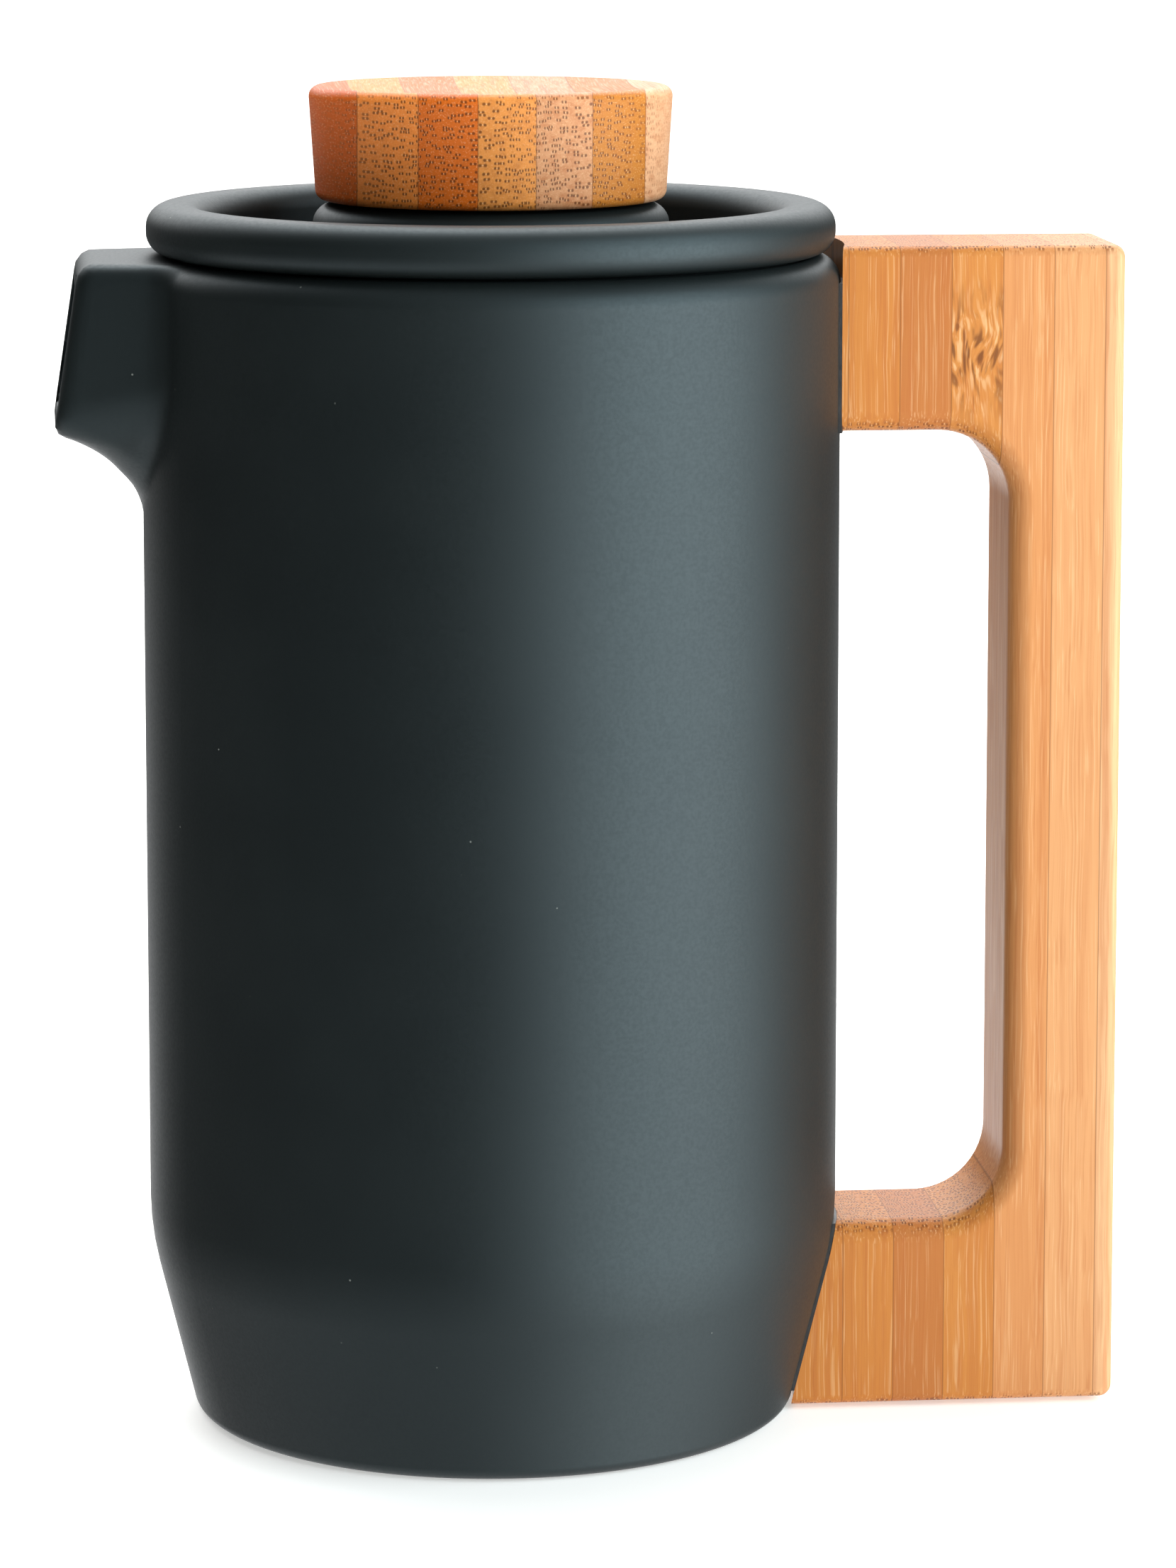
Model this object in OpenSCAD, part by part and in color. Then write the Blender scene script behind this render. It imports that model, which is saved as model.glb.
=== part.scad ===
// French press: a stoneware jug and lid, a bamboo handle and knob, and a stainless steel plunger.
// The jug's axis is Z and its base stands on z = 0. The handle points to +X and the spout to -X.
// The plunger is shown pressed right down, with the lid on.

/* [Jug] */
// Outside diameter of the straight wall
jug_d = 106; // [88:1:130]
// Height of the rim above the table
jug_h = 178.5; // [145:0.5:220]
// Thickness of the wall
jug_wall = 5; // [4:0.5:6]
// Thickness of the floor, from the table
floor_t = 7; // [5:0.5:9]
// Height at which the foot taper meets the straight wall
taper_h = 28.5; // [24:0.5:36]
// Lean of the foot taper from the vertical, in degrees
taper_angle = 13.9; // [10:0.1:16]
// Radius of the soft bend between taper and wall, outside
taper_bend = 43; // [30:1:50]
// Round on the bottom edge
foot_round = 2.5; // [1:0.5:4]
// Width of the unglazed foot ring that stands on the table
foot_ring_w = 8; // [5:0.5:12]
// Depth of the hollow inside the foot ring
foot_hollow = 1.2; // [0.5:0.1:2.5]
// Round on the outer shoulder, under the lid
shoulder_round = 4; // [2:0.5:4]

/* [Spout] */
// How far the lip stands out from the wall
lip_reach = 13.6; // [11:0.1:18]
// How far the top of the spout stands out from the wall
spout_reach = 9.5; // [8:0.1:11]
// Depth of the lip's underside below the rim
lip_drop = 25.3; // [22:0.1:32]
// Width of the spout at the lip
lip_w = 29; // [22:1:34]
// Width of the spout where it leaves the wall
spout_root_w = 36; // [34:1:48]
// Thickness of the spout's sides and top
spout_wall = 3; // [2.5:0.5:4]
// Thickness of the lip under the mouth
lip_t = 2.6; // [2:0.1:4]
// Length of the lip's flat underside
lip_flat = 4; // [3:0.5:7]
// How far the underside runs down from the lip to the wall
underside_drop = 11; // [8:0.5:14]
// Width of the spout's lowest edge, where its sides have drawn in
keel_w = 10; // [6:1:14]
// How far above the lip's underside the sides start to draw in
keel_rise = 3.3; // [1:0.1:6]
// How far the passage's floor runs down from the mouth to the bore
floor_drop = 9.5; // [6:0.5:11]

/* [Handle] */
// How far the handle's back stands out from the wall
handle_reach = 42.5; // [36:0.5:55]
// Thickness of the bamboo slab
handle_t = 24; // [20:1:30]
// Width of the upright grip, seen from the side
grip_w = 17.3; // [14:0.1:22]
// Height of the upper arm
upper_arm_h = 28.2; // [22:0.1:34]
// Height of the lower arm
lower_arm_h = 28.8; // [22:0.1:34]
// Height of the handle's top face above the rim
handle_rise = 1.5; // [0:0.5:4]
// Height of the handle's bottom face above the table
handle_foot = 0.5; // [0.5:0.5:6]
// Round in the corners of the finger gap
loop_round = 11; // [6:1:14]
// Round on the slab's outer corners
handle_corner = 2; // [1:0.5:4]
// Diameter of the stoneware lugs that the arms are glued to
lug_d = 12; // [8:1:14]
// How far the lugs stand out from the wall
lug_reach = 11; // [8:1:14]
// Thickness of the adhesive between bamboo and stoneware
glue_t = 0.5; // [0.3:0.1:1]

/* [Lid] */
// How far the lid's rolled ring stays inside the jug's outline
lid_inset = 0.8; // [0:0.1:1.5]
// Width of the rolled ring
ring_w = 9.2; // [8:0.1:11]
// Height of the rolled ring
ring_h = 7.5; // [6.5:0.1:10]
// Depth of the recess around the boss, below the ring's crest
recess_depth = 10.8; // [8:0.1:12]
// Thickness of the lid's plate
lid_t = 4.5; // [3.5:0.5:5]
// How far the skirt reaches below the rim
skirt_drop = 10.5; // [9:0.5:14]
// Play between the skirt and the bore, all round
skirt_play = 1.2; // [0.8:0.1:2]
// Diameter of the boss under the knob
boss_d = 54; // [44:1:60]
// Height of the boss above the ring's crest
boss_rise = 0; // [0:0.1:3]

/* [Knob] */
// Diameter of the knob at its top
knob_d = 55.4; // [42:0.1:66]
// How much narrower the knob is at its bottom
knob_taper = 2.2; // [0:0.1:6]
// Height of the knob
knob_h = 17.2; // [15:0.1:26]
// Depth of the dished top
dish_depth = 2; // [0.5:0.1:2.5]
// Width of the flat edge round the dish
dish_edge = 2.5; // [2:0.5:5]

/* [Plunger] */
// Diameter of the plunger rod
rod_d = 5; // [4:0.5:6]
// Outside diameter of the coiled spring's wire ring, seen in section
spring_d = 4.2; // [3.5:0.1:5]
// Thickness of the two steel plates
plate_t = 0.8; // [0.6:0.1:1.2]
// Thickness of the filter mesh
mesh_t = 0.5; // [0.4:0.1:0.8]
// Depth of the nut under the cross plate
cross_nut_h = 5; // [4:0.5:7]
// Diameter of the nut under the cross plate
cross_nut_d = 12; // [10:0.5:16]
// Diameter of the collar that clamps the filter to the rod
collar_d = 12; // [9:0.5:16]
// Height of that collar
collar_h = 4; // [3:0.5:6]

/* [Guide] */
// Outside diameter of the threaded guide in the lid
guide_d = 10; // [9:0.5:12]
// Diameter of the guide's flange
flange_d = 18; // [15:1:20]
// Thickness of the guide's flange
flange_t = 1.2; // [1:0.1:1.6]
// Thickness of the silicone seals on each side of the lid
seal_t = 0.8; // [0.5:0.1:1.2]
// Width across the flats of the guide's nut
guide_nut_w = 15; // [13:0.5:18]
// Height of the guide's nut
guide_nut_h = 4; // [3:0.5:5]
// Diameter of the brass insert in the knob
insert_d = 9; // [8:0.5:11]
// Length of the brass insert
insert_h = 8.5; // [7:0.5:9]
// Thickness of the silicone bumper under the knob
bumper_t = 1; // [0.8:0.1:1.5]

/* [Clearances] */
// Running clearance of the rod in its guide, all round
rod_gap = 0.1; // [0.05:0.05:0.1]
// Clearance of loose steel holes round the rod
hole_gap = 0.4; // [0.3:0.1:0.6]
// Gap between the filter's edge and the bore
filter_gap = 0.3; // [0.2:0.1:0.5]
// Gap between the lid's ring and the rim
lid_gap = 0.3; // [0.2:0.1:0.5]
// Gap between the knob and the boss
knob_gap = 0.5; // [0.3:0.1:1]
// Gap between the bumper and the guide's flange
stop_gap = 0.3; // [0.2:0.1:0.5]
// Small gap between steel parts that rest on each other
rest_gap = 0.1; // [0.05:0.05:0.2]

/* [Hidden] */

$fn = 96;
arc_step = 11; // largest turn between two points of a rounded corner, in degrees
past = 1; // how far a cutting shape runs past the face it cuts
rod_short = 0.5; // each end of the rod lies this far inside the piece it screws into
insert_gap = 0.5; // room above the insert in the knob

stoneware = "#2b2f31";
bamboo = "#d9974f";
rubber = "#161616";
steel = "#c3c6c8";
brass = "#b9953f";

// Jug
jug_r = jug_d / 2;
bore_r = jug_r - jug_wall;
base_r = jug_r - taper_h * tan(taper_angle);
inner_taper_h = taper_h + jug_wall * tan(taper_angle / 2);
inner_bend = taper_bend - jug_wall;
straight_from = inner_taper_h + inner_bend * tan(taper_angle / 2); // the bore is straight above here
inner_floor_r = bore_r - (inner_taper_h - floor_t) * tan(taper_angle);
floor_round = 6;
rim_round = 0.8;

// Spout
spout_buried = 4; // how far the spout's block runs into the wall, from the wall's outside
spout_seat_r = jug_r - shoulder_round / 2; // the spout's top reaches in over the shoulder to here
spout_slope = (spout_root_w - lip_w) / 2 / (lip_reach + spout_buried); // narrowing of each side per mm
lip_z = jug_h - lip_drop;
mouth_z = lip_z + lip_t;
keel_z = lip_z + keel_rise;
keel_bottom = lip_z - underside_drop;
mouth_top = jug_h - spout_wall;
lip_x = jug_r + lip_reach;
lip_flat_x = lip_x - lip_flat; // where the lip's flat underside turns down to the wall
side_round = 8; // where the spout's upright sides turn in
keel_round = 4;
brow_round = 3; // top front edge of the spout
lip_round = 1.5;
sweep_round = 6; // hollow under the lip
passage_round = 4; // where the passage's floor turns down to the bore

// Handle
handle_x = jug_r + handle_reach;
handle_top = jug_h + handle_rise;
gap_x = handle_x - grip_w;
gap_top = handle_top - upper_arm_h;
gap_bottom = handle_foot + lower_arm_h;
upper_lug_z = (handle_top + gap_top) / 2;
lower_lug_z = (gap_bottom + handle_foot) / 2;

// Lid
ring_r = jug_r - lid_inset;
ring_z = jug_h + lid_gap;
ring_top = ring_z + ring_h;
ring_round = 3.4;
ring_seat_round = 2.6;
recess_round = 3;
skirt_round = 1;
inner_round = 2; // inside corners under the lid
recess_r = ring_r - ring_w;
recess_z = ring_top - recess_depth;
skirt_r = bore_r - skirt_play;
skirt_in_r = recess_r - past;
skirt_z = jug_h - skirt_drop;
boss_r = boss_d / 2;
boss_top = ring_top + boss_rise;
boss_round = 3.4;
boss_in_r = boss_r - lid_t;
boss_ceiling = boss_top - lid_t;

// Guide
rod_r = rod_d / 2;
guide_r = guide_d / 2;
guide_bore_r = rod_r + rod_gap;
lid_hole_r = guide_r + stop_gap;
flange_z = boss_top + seal_t;
flange_top = flange_z + flange_t;
guide_nut_top = boss_ceiling - seal_t;
guide_nut_z = guide_nut_top - guide_nut_h;
guide_z = guide_nut_z - past;
seal_r = flange_d / 2 + past;

// Knob
knob_r = knob_d / 2;
knob_z = boss_top + knob_gap;
knob_top = knob_z + knob_h;
knob_round = 1.5;
bumper_z = flange_top + stop_gap;
insert_z = bumper_z + bumper_t;
insert_top = insert_z + insert_h;
insert_r = insert_d / 2;
bumper_r = flange_d / 2;
knob_hollow_r = seal_r + past;
dish_r = knob_r - dish_edge;
dish_sphere_r = (dish_r * dish_r + dish_depth * dish_depth) / (2 * dish_depth);
rod_top = insert_top - rod_short;

// Filter, from the bottom up
cross_z = straight_from + stop_gap;
mesh_z = cross_z + plate_t;
spiral_z = mesh_z + mesh_t;
filter_r = bore_r - filter_gap;
spring_r = spring_d / 2;
spring_ring_r = filter_r - mesh_t - rest_gap - spring_r;
spring_z = spiral_z + rest_gap + spring_r;
spiral_wall_r = spring_ring_r - spring_r - rest_gap;
spiral_lip_z = spring_z + spring_r + rest_gap;
spiral_top = spiral_lip_z + plate_t;
mesh_edge_h = spiral_top - mesh_z;
mesh_hole_r = 7;
cross_inset = 1.7; // from the filter's edge to the cross plate's rim
cross_r = filter_r - cross_inset;
cross_rim_h = 2.5;
cross_nut_z = cross_z - cross_nut_h;
spigot_t = 1.5; // wall of the nut's spigot in the cross plate
spigot_r = rod_r + spigot_t;
collar_z = spiral_z + plate_t + rest_gap;
rod_z = cross_nut_z + rod_short;

// --- Shapes that repeat ---

function unit(v) = v / norm(v);

// Points of the corner at b, on the way from a to c, rounded to radius r
function rounded_corner(a, b, c, r) =
  r <= 0 ? [b] :
  let (
    to_a = unit(a - b),
    to_c = unit(c - b),
    half = acos(to_a * to_c) / 2,
    centre = b + unit(to_a + to_c) * r / sin(half),
    start = b + to_a * r / tan(half) - centre,
    finish = b + to_c * r / tan(half) - centre,
    first = atan2(start.y, start.x),
    turn = atan2(start.x * finish.y - start.y * finish.x, start * finish),
    steps = ceil(abs(turn) / arc_step)
  )
  [for (i = [0:steps]) centre + r * [cos(first + turn * i / steps), sin(first + turn * i / steps)]];

// Outline through corners given as [x, y, round]
function outline(corners) =
  let (n = len(corners))
  [for (i = [0:n - 1])
    let (a = corners[(i + n - 1) % n], b = corners[i], c = corners[(i + 1) % n])
    each rounded_corner([a.x, a.y], [b.x, b.y], [c.x, c.y], b.z)];

// Body turned about Z from corners given as [radius, height, round]
module turned(corners) {
  rotate_extrude() polygon(outline(corners));
}

// Upright slab cut from corners given as [x, height, round]
module slab(corners, thickness) {
  rotate([90, 0, 0]) linear_extrude(height = thickness, center = true) polygon(outline(corners));
}

// Flat ring
module washer(inner_r, outer_r, z, thickness) {
  translate([0, 0, z]) difference() {
    cylinder(r = outer_r, h = thickness);
    translate([0, 0, -past]) cylinder(r = inner_r, h = thickness + 2 * past);
  }
}

// Ring of upright holes
module hole_ring(count, hole_r, ring, z, depth) {
  for (i = [0:count - 1])
    rotate([0, 0, (i + 0.5) * 360 / count]) translate([ring, 0, z]) cylinder(r = hole_r, h = depth, $fn = 32);
}

// --- Jug ---

// Outside of the jug at a height
function wall_r(z) = z < taper_h ? base_r + z * tan(taper_angle) : jug_r;

// Space inside the jug's outside, grown by a gap, running past both ends
module jug_envelope(gap) {
  low_r = base_r + gap - past * tan(taper_angle);
  high = handle_top + past;
  turned([
    [0, -past, 0], [low_r, -past, 0], [jug_r + gap, taper_h, taper_bend], [jug_r + gap, high, 0], [0, high, 0]
  ]);
}

module jug_outside() {
  foot_in_r = base_r - foot_round - foot_ring_w;
  turned([
    [0, foot_hollow, 0], [foot_in_r, foot_hollow, 0], [foot_in_r + foot_hollow, 0, 0],
    [base_r, 0, foot_round], [jug_r, taper_h, taper_bend],
    [jug_r, jug_h, shoulder_round], [bore_r - past, jug_h, 0], [0, jug_h, 0]
  ]);
}

module jug_inside() {
  high = jug_h + past;
  turned([
    [0, floor_t, 0], [inner_floor_r, floor_t, floor_round], [bore_r, inner_taper_h, inner_bend],
    [bore_r, jug_h - rim_round, 0], [bore_r + rim_round, jug_h, 0], [bore_r + rim_round, high, 0], [0, high, 0]
  ]);
}

// Half width of the spout's outside, at a distance from the jug's axis
function spout_half(x) = spout_root_w / 2 - spout_slope * (x - (jug_r - spout_buried));

// Spout seen from above, narrowing from the jug to the lip, with its sides moved in by an inset
module spout_plan(from_x, to_x, inset) {
  from_y = spout_half(from_x) - inset;
  to_y = spout_half(to_x) - inset;
  linear_extrude(height = jug_h)
    polygon([[-from_x, -from_y], [-from_x, from_y], [-to_x, to_y], [-to_x, -to_y]]);
}

// Spout seen from the front: upright sides that draw in towards the bottom, moved in by an inset
module spout_front(inset) {
  side_y = spout_root_w / 2;
  keel_y = keel_w / 2;
  rise = keel_z - keel_bottom;
  lift = inset * norm([side_y - keel_y, rise]) / (side_y - keel_y); // the inset lifts the slanted sides so far
  rotate([90, 0, -90]) linear_extrude(height = lip_x + past) polygon(outline([
    [-side_y, jug_h, 0], [-side_y, keel_z + lift, side_round], [-keel_y, keel_bottom + lift, keel_round],
    [keel_y, keel_bottom + lift, keel_round], [side_y, keel_z + lift, side_round], [side_y, jug_h, 0]
  ]));
}

module spout_outside() {
  root_x = jug_r - spout_buried;
  intersection() {
    spout_plan(root_x, lip_x + past, 0);
    spout_front(0);
    slab([
      [-root_x, jug_h, 0], [-jug_r - spout_reach, jug_h, brow_round], [-lip_x, lip_z, lip_round],
      [-lip_flat_x, lip_z, sweep_round], [-jug_r, keel_bottom, 0], [-root_x, keel_bottom, 0]
    ], 2 * spout_root_w);
  }
}

// Passage from the bore to the mouth
module spout_passage() {
  root_x = bore_r - spout_buried;
  mouth_x = lip_x + past;
  side_wall = spout_wall * norm([1, spout_slope]);
  intersection() {
    spout_plan(root_x, mouth_x, side_wall);
    spout_front(spout_wall);
    slab([
      [-root_x, mouth_top, 0], [-mouth_x, mouth_top, 0], [-mouth_x, mouth_z, 0],
      [-lip_flat_x, mouth_z, passage_round], [-bore_r, mouth_z - floor_drop, 0],
      [-root_x, mouth_z - floor_drop, 0]
    ], 2 * spout_root_w);
  }
}

// Round peg along X, from inside the wall at a height to a reach outside it
module peg(z, r, reach) {
  from_x = wall_r(z) - jug_wall / 2;
  translate([from_x, 0, z]) rotate([0, 90, 0]) cylinder(r = r, h = wall_r(z) + reach - from_x);
}

module jug_body() {
  color(stoneware) difference() {
    jug_outside();
    jug_inside();
    spout_passage();
  }
}

// Stoneware hood, luted over a port in the wall
module spout() {
  color(stoneware) difference() {
    spout_outside();
    jug_outside();
    translate([0, 0, jug_h / 2]) cylinder(r = spout_seat_r, h = jug_h);
    spout_passage();
  }
}

// Stoneware lug, luted to the wall, that one arm is glued over
module lug(z) {
  color(stoneware) difference() {
    peg(z, lug_d / 2, lug_reach);
    jug_envelope(0);
  }
}

module lug_upper() {
  lug(upper_lug_z);
}

module lug_lower() {
  lug(lower_lug_z);
}

// --- Handle ---

module handle() {
  inside_x = bore_r;
  color(bamboo) difference() {
    slab([
      [inside_x, handle_top, 0], [handle_x, handle_top, handle_corner],
      [handle_x, handle_foot, handle_corner],
      [base_r - jug_wall, handle_foot, 0], [base_r - jug_wall, gap_bottom, 0], [gap_x, gap_bottom, loop_round],
      [gap_x, gap_top, loop_round], [inside_x, gap_top, 0]
    ], handle_t);
    jug_envelope(glue_t);
    peg(upper_lug_z, lug_d / 2 + glue_t, lug_reach + glue_t);
    peg(lower_lug_z, lug_d / 2 + glue_t, lug_reach + glue_t);
  }
}

// Adhesive that fills one arm's joint: a bed on the wall and a sleeve over the lug
module adhesive(z, low, high) {
  color(rubber) difference() {
    union() {
      intersection() {
        jug_envelope(glue_t);
        translate([0, -handle_t / 2, low]) cube([handle_x, handle_t, high - low]);
      }
      peg(z, lug_d / 2 + glue_t, lug_reach + glue_t);
    }
    jug_envelope(0);
    peg(z, lug_d / 2, lug_reach);
  }
}

module adhesive_upper() {
  adhesive(upper_lug_z, gap_top, handle_top - handle_rise - shoulder_round);
}

module adhesive_lower() {
  adhesive(lower_lug_z, handle_foot + foot_round, gap_bottom);
}

// --- Lid and the guide in it ---

module lid() {
  color(stoneware) turned([
    [lid_hole_r, boss_top, 0], [boss_r, boss_top, boss_round], [boss_r, recess_z, recess_round],
    [recess_r, recess_z, recess_round], [recess_r, ring_top, ring_round], [ring_r, ring_top, ring_round],
    [ring_r, ring_z, ring_seat_round], [skirt_r, ring_z, 0], [skirt_r, skirt_z, skirt_round],
    [skirt_in_r, skirt_z, skirt_round], [skirt_in_r, recess_z - lid_t, inner_round],
    [boss_in_r, recess_z - lid_t, inner_round], [boss_in_r, boss_ceiling, recess_round],
    [lid_hole_r, boss_ceiling, 0]
  ]);
}

module rod_guide() {
  color(steel) {
    washer(guide_bore_r, flange_d / 2, flange_z, flange_t);
    washer(guide_bore_r, guide_r, guide_z, flange_z - guide_z);
  }
}

module guide_seal_top() {
  color(rubber) washer(guide_r, seal_r, boss_top, seal_t);
}

module guide_seal_bottom() {
  color(rubber) washer(guide_r, seal_r, guide_nut_top, seal_t);
}

module guide_nut() {
  color(steel) difference() {
    translate([0, 0, guide_nut_z]) cylinder(d = guide_nut_w / cos(30), h = guide_nut_h, $fn = 6);
    translate([0, 0, guide_nut_z - past]) cylinder(r = guide_r, h = guide_nut_h + 2 * past);
  }
}

// --- Plunger ---

module plunger_rod() {
  tip = 0.5;
  color(steel) turned([
    [0, rod_z, 0], [rod_r - tip, rod_z, 0], [rod_r, rod_z + tip, 0],
    [rod_r, rod_top - tip, 0], [rod_r - tip, rod_top, 0], [0, rod_top, 0]
  ]);
}

module rod_collar() {
  edge_round = 1;
  color(steel) turned([
    [rod_r, collar_z, 0], [collar_d / 2, collar_z, 0], [collar_d / 2, collar_z + collar_h, edge_round],
    [rod_r, collar_z + collar_h, 0]
  ]);
}

module knob() {
  hole_top = insert_top + insert_gap;
  color(bamboo) difference() {
    turned([
      [0, knob_z, 0], [knob_r - knob_taper / 2, knob_z, knob_round], [knob_r, knob_top, knob_round],
      [0, knob_top, 0]
    ]);
    translate([0, 0, knob_z - past]) cylinder(r = knob_hollow_r, h = insert_z - knob_z + past);
    translate([0, 0, knob_z]) cylinder(r = insert_r, h = hole_top - knob_z);
    translate([0, 0, knob_top - dish_depth + dish_sphere_r]) sphere(r = dish_sphere_r);
  }
}

module knob_insert() {
  groove = 0.5;
  groove_z = insert_z + insert_h / 2;
  color(brass) turned([
    [rod_r, insert_z, 0], [insert_r, insert_z, 0], [insert_r, groove_z - groove, 0],
    [insert_r - groove, groove_z, 0],
    [insert_r, groove_z + groove, 0], [insert_r, insert_top, 0], [rod_r, insert_top, 0]
  ]);
}

module knob_bumper() {
  color(rubber) washer(rod_r, bumper_r, bumper_z, bumper_t);
}

// --- Filter ---

module spiral_plate() {
  inner_holes = 8;
  outer_holes = 16;
  hole_r = 2.5;
  inner_ring = spiral_wall_r / 3;
  outer_ring = spiral_wall_r * 3 / 4;
  color(steel) difference() {
    turned([
      [rod_r + hole_gap, spiral_z, 0], [spiral_wall_r, spiral_z, 0], [spiral_wall_r, spiral_lip_z, 0],
      [spring_ring_r, spiral_lip_z, 0], [spring_ring_r, spiral_top, 0],
      [spiral_wall_r - plate_t, spiral_top, 0],
      [spiral_wall_r - plate_t, spiral_z + plate_t, 0], [rod_r + hole_gap, spiral_z + plate_t, 0]
    ]);
    hole_ring(inner_holes, hole_r, inner_ring, spiral_z - past, plate_t + 2 * past);
    hole_ring(outer_holes, hole_r, outer_ring, spiral_z - past, plate_t + 2 * past);
  }
}

module spiral_spring() {
  color(steel) translate([0, 0, spring_z]) rotate_extrude() translate([spring_ring_r, 0]) circle(r = spring_r);
}

module mesh_filter() {
  color(steel) turned([
    [mesh_hole_r, mesh_z, 0], [filter_r, mesh_z, 0], [filter_r, mesh_z + mesh_edge_h, 0],
    [filter_r - mesh_t, mesh_z + mesh_edge_h, 0], [filter_r - mesh_t, spiral_z, 0], [mesh_hole_r, spiral_z, 0]
  ]);
}

module mesh_eyelet() {
  color(steel) washer(rod_r + hole_gap, mesh_hole_r, mesh_z, mesh_t);
}

// Plate with a turned-down rim and four wide windows
module cross_plate() {
  arm_w = 8;
  rim_w = 6;
  hub_r = 11;
  color(steel) difference() {
    turned([
      [spigot_r, cross_z, 0], [cross_r - plate_t, cross_z, 0], [cross_r - plate_t, cross_z - cross_rim_h, 0],
      [cross_r, cross_z - cross_rim_h, 0], [cross_r, mesh_z, 0], [spigot_r, mesh_z, 0]
    ]);
    translate([0, 0, cross_z - past]) linear_extrude(height = plate_t + 2 * past) difference() {
      circle(r = cross_r - rim_w);
      circle(r = hub_r);
      square([2 * cross_r, arm_w], center = true);
      square([arm_w, 2 * cross_r], center = true);
    }
  }
}

module cross_plate_nut() {
  edge_round = 1;
  color(steel) turned([
    [guide_bore_r, cross_nut_z, 0], [cross_nut_d / 2, cross_nut_z, edge_round], [cross_nut_d / 2, cross_z, 0],
    [spigot_r, cross_z, 0], [spigot_r, mesh_z, 0], [guide_bore_r, mesh_z, 0]
  ]);
}

jug_body();
spout();
lug_upper();
lug_lower();
handle();
adhesive_upper();
adhesive_lower();
lid();
rod_guide();
guide_seal_top();
guide_seal_bottom();
guide_nut();
plunger_rod();
rod_collar();
knob();
knob_insert();
knob_bumper();
spiral_plate();
spiral_spring();
mesh_filter();
mesh_eyelet();
cross_plate();
cross_plate_nut();
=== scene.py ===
import math

import bmesh
import bpy
import numpy as np
from bpy.props import FloatProperty, FloatVectorProperty, IntProperty, PointerProperty
from mathutils import Matrix, Vector


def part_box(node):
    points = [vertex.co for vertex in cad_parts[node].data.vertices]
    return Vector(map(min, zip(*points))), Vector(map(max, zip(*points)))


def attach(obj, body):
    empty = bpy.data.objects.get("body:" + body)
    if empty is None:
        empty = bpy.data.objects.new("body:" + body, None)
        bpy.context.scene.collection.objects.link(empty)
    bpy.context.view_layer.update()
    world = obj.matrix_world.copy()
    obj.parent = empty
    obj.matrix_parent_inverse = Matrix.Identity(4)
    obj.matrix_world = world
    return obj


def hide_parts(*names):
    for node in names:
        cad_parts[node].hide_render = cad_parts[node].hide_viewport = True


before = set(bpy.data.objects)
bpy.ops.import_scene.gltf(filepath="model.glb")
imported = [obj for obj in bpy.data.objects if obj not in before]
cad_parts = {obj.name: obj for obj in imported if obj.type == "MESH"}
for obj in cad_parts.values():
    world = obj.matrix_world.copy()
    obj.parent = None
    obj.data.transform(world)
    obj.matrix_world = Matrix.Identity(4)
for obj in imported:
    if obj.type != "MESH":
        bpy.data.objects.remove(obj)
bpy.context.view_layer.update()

bl_info = {
    "name": "French press",
    "version": (1, 0, 0),
    "blender": (4, 5, 0),
    "location": "3D View > Sidebar > Press",
    "description": "Stoneware, bamboo and steel pieces of a french press, built on its CAD frame",
    "category": "Add Mesh",
}

MM = 0.001
AXIS = {"x": 0, "y": 1, "z": 2}


# ---------------------------------------------------------------------------
# Sizes read from the frame, in millimetres
# ---------------------------------------------------------------------------

def low(node, axis):
    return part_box(node)[0][AXIS[axis]] / MM


def high(node, axis):
    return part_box(node)[1][AXIS[axis]] / MM


def span(node):
    """Foot, top and radius of a round node."""
    return low(node, "z"), high(node, "z"), high(node, "x")


WALL_R = high("jug_body", "x")
RIM_Z = high("jug_body", "z")
LIP_X = -low("spout", "x")
KEEL_Z = low("spout", "z")
SPOUT_HALF = high("spout", "y")
HANDLE_X = high("handle", "x")
HANDLE_Y = high("handle", "y")
HANDLE_TOP = high("handle", "z")
HANDLE_FOOT = low("handle", "z")
KNOB_Z = low("knob", "z")
KNOB_TOP = high("knob", "z")
KNOB_R = high("knob", "x")
ROD_R = high("plunger_rod", "x")

# Sizes that the frame's boxes don't give
SPOUT_WALL = 3
LIP_T = 2.6  # thickness of the lip under the mouth
LIP_FLAT = 4  # length of the lip's flat underside
SKIRT_PLAY = 1.2  # play of the lid's skirt in the bore
GUIDE_R = 5  # outside of the threaded guide
SHEET = 0.8  # thickness of the pressed steel plates
CLOTH = 0.5  # thickness of the mesh
SPIGOT_R = ROD_R + 1.5  # the nut's spigot in the cross plate
THREAD = 0.8  # pitch of the rod's and the guide's threads
WELD = 0.002 * MM  # points closer than this are one
CLOSE = 0.01  # two heights or widths closer than this are the same


def linear(colour):
    """Linear red, green, blue and alpha of an sRGB hex colour."""
    parts = [int(colour[i:i + 2], 16) / 255 for i in (1, 3, 5)]
    return [c / 12.92 if c <= 0.04045 else ((c + 0.055) / 1.055) ** 2.4 for c in parts] + [1.0]


# ---------------------------------------------------------------------------
# Settings
# ---------------------------------------------------------------------------

def length(name, description, default, smallest=0.0):
    """A size property that is set in millimetres."""
    return FloatProperty(name=name, description=description, default=default * MM, min=smallest * MM,
                         unit="LENGTH", precision=4)


def angle(name, description, default):
    """An angle property that is set in degrees."""
    return FloatProperty(name=name, description=description, default=math.radians(default), subtype="ANGLE")


def strength(name, description, default):
    """A property for how bright something is."""
    return FloatProperty(name=name, description=description, default=default, min=0)


def colour(name, description, default):
    """A colour property that is set from an sRGB hex colour."""
    return FloatVectorProperty(name=name, description=description, default=linear(default), size=4,
                               min=0.0, max=1.0, subtype="COLOR")


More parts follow.
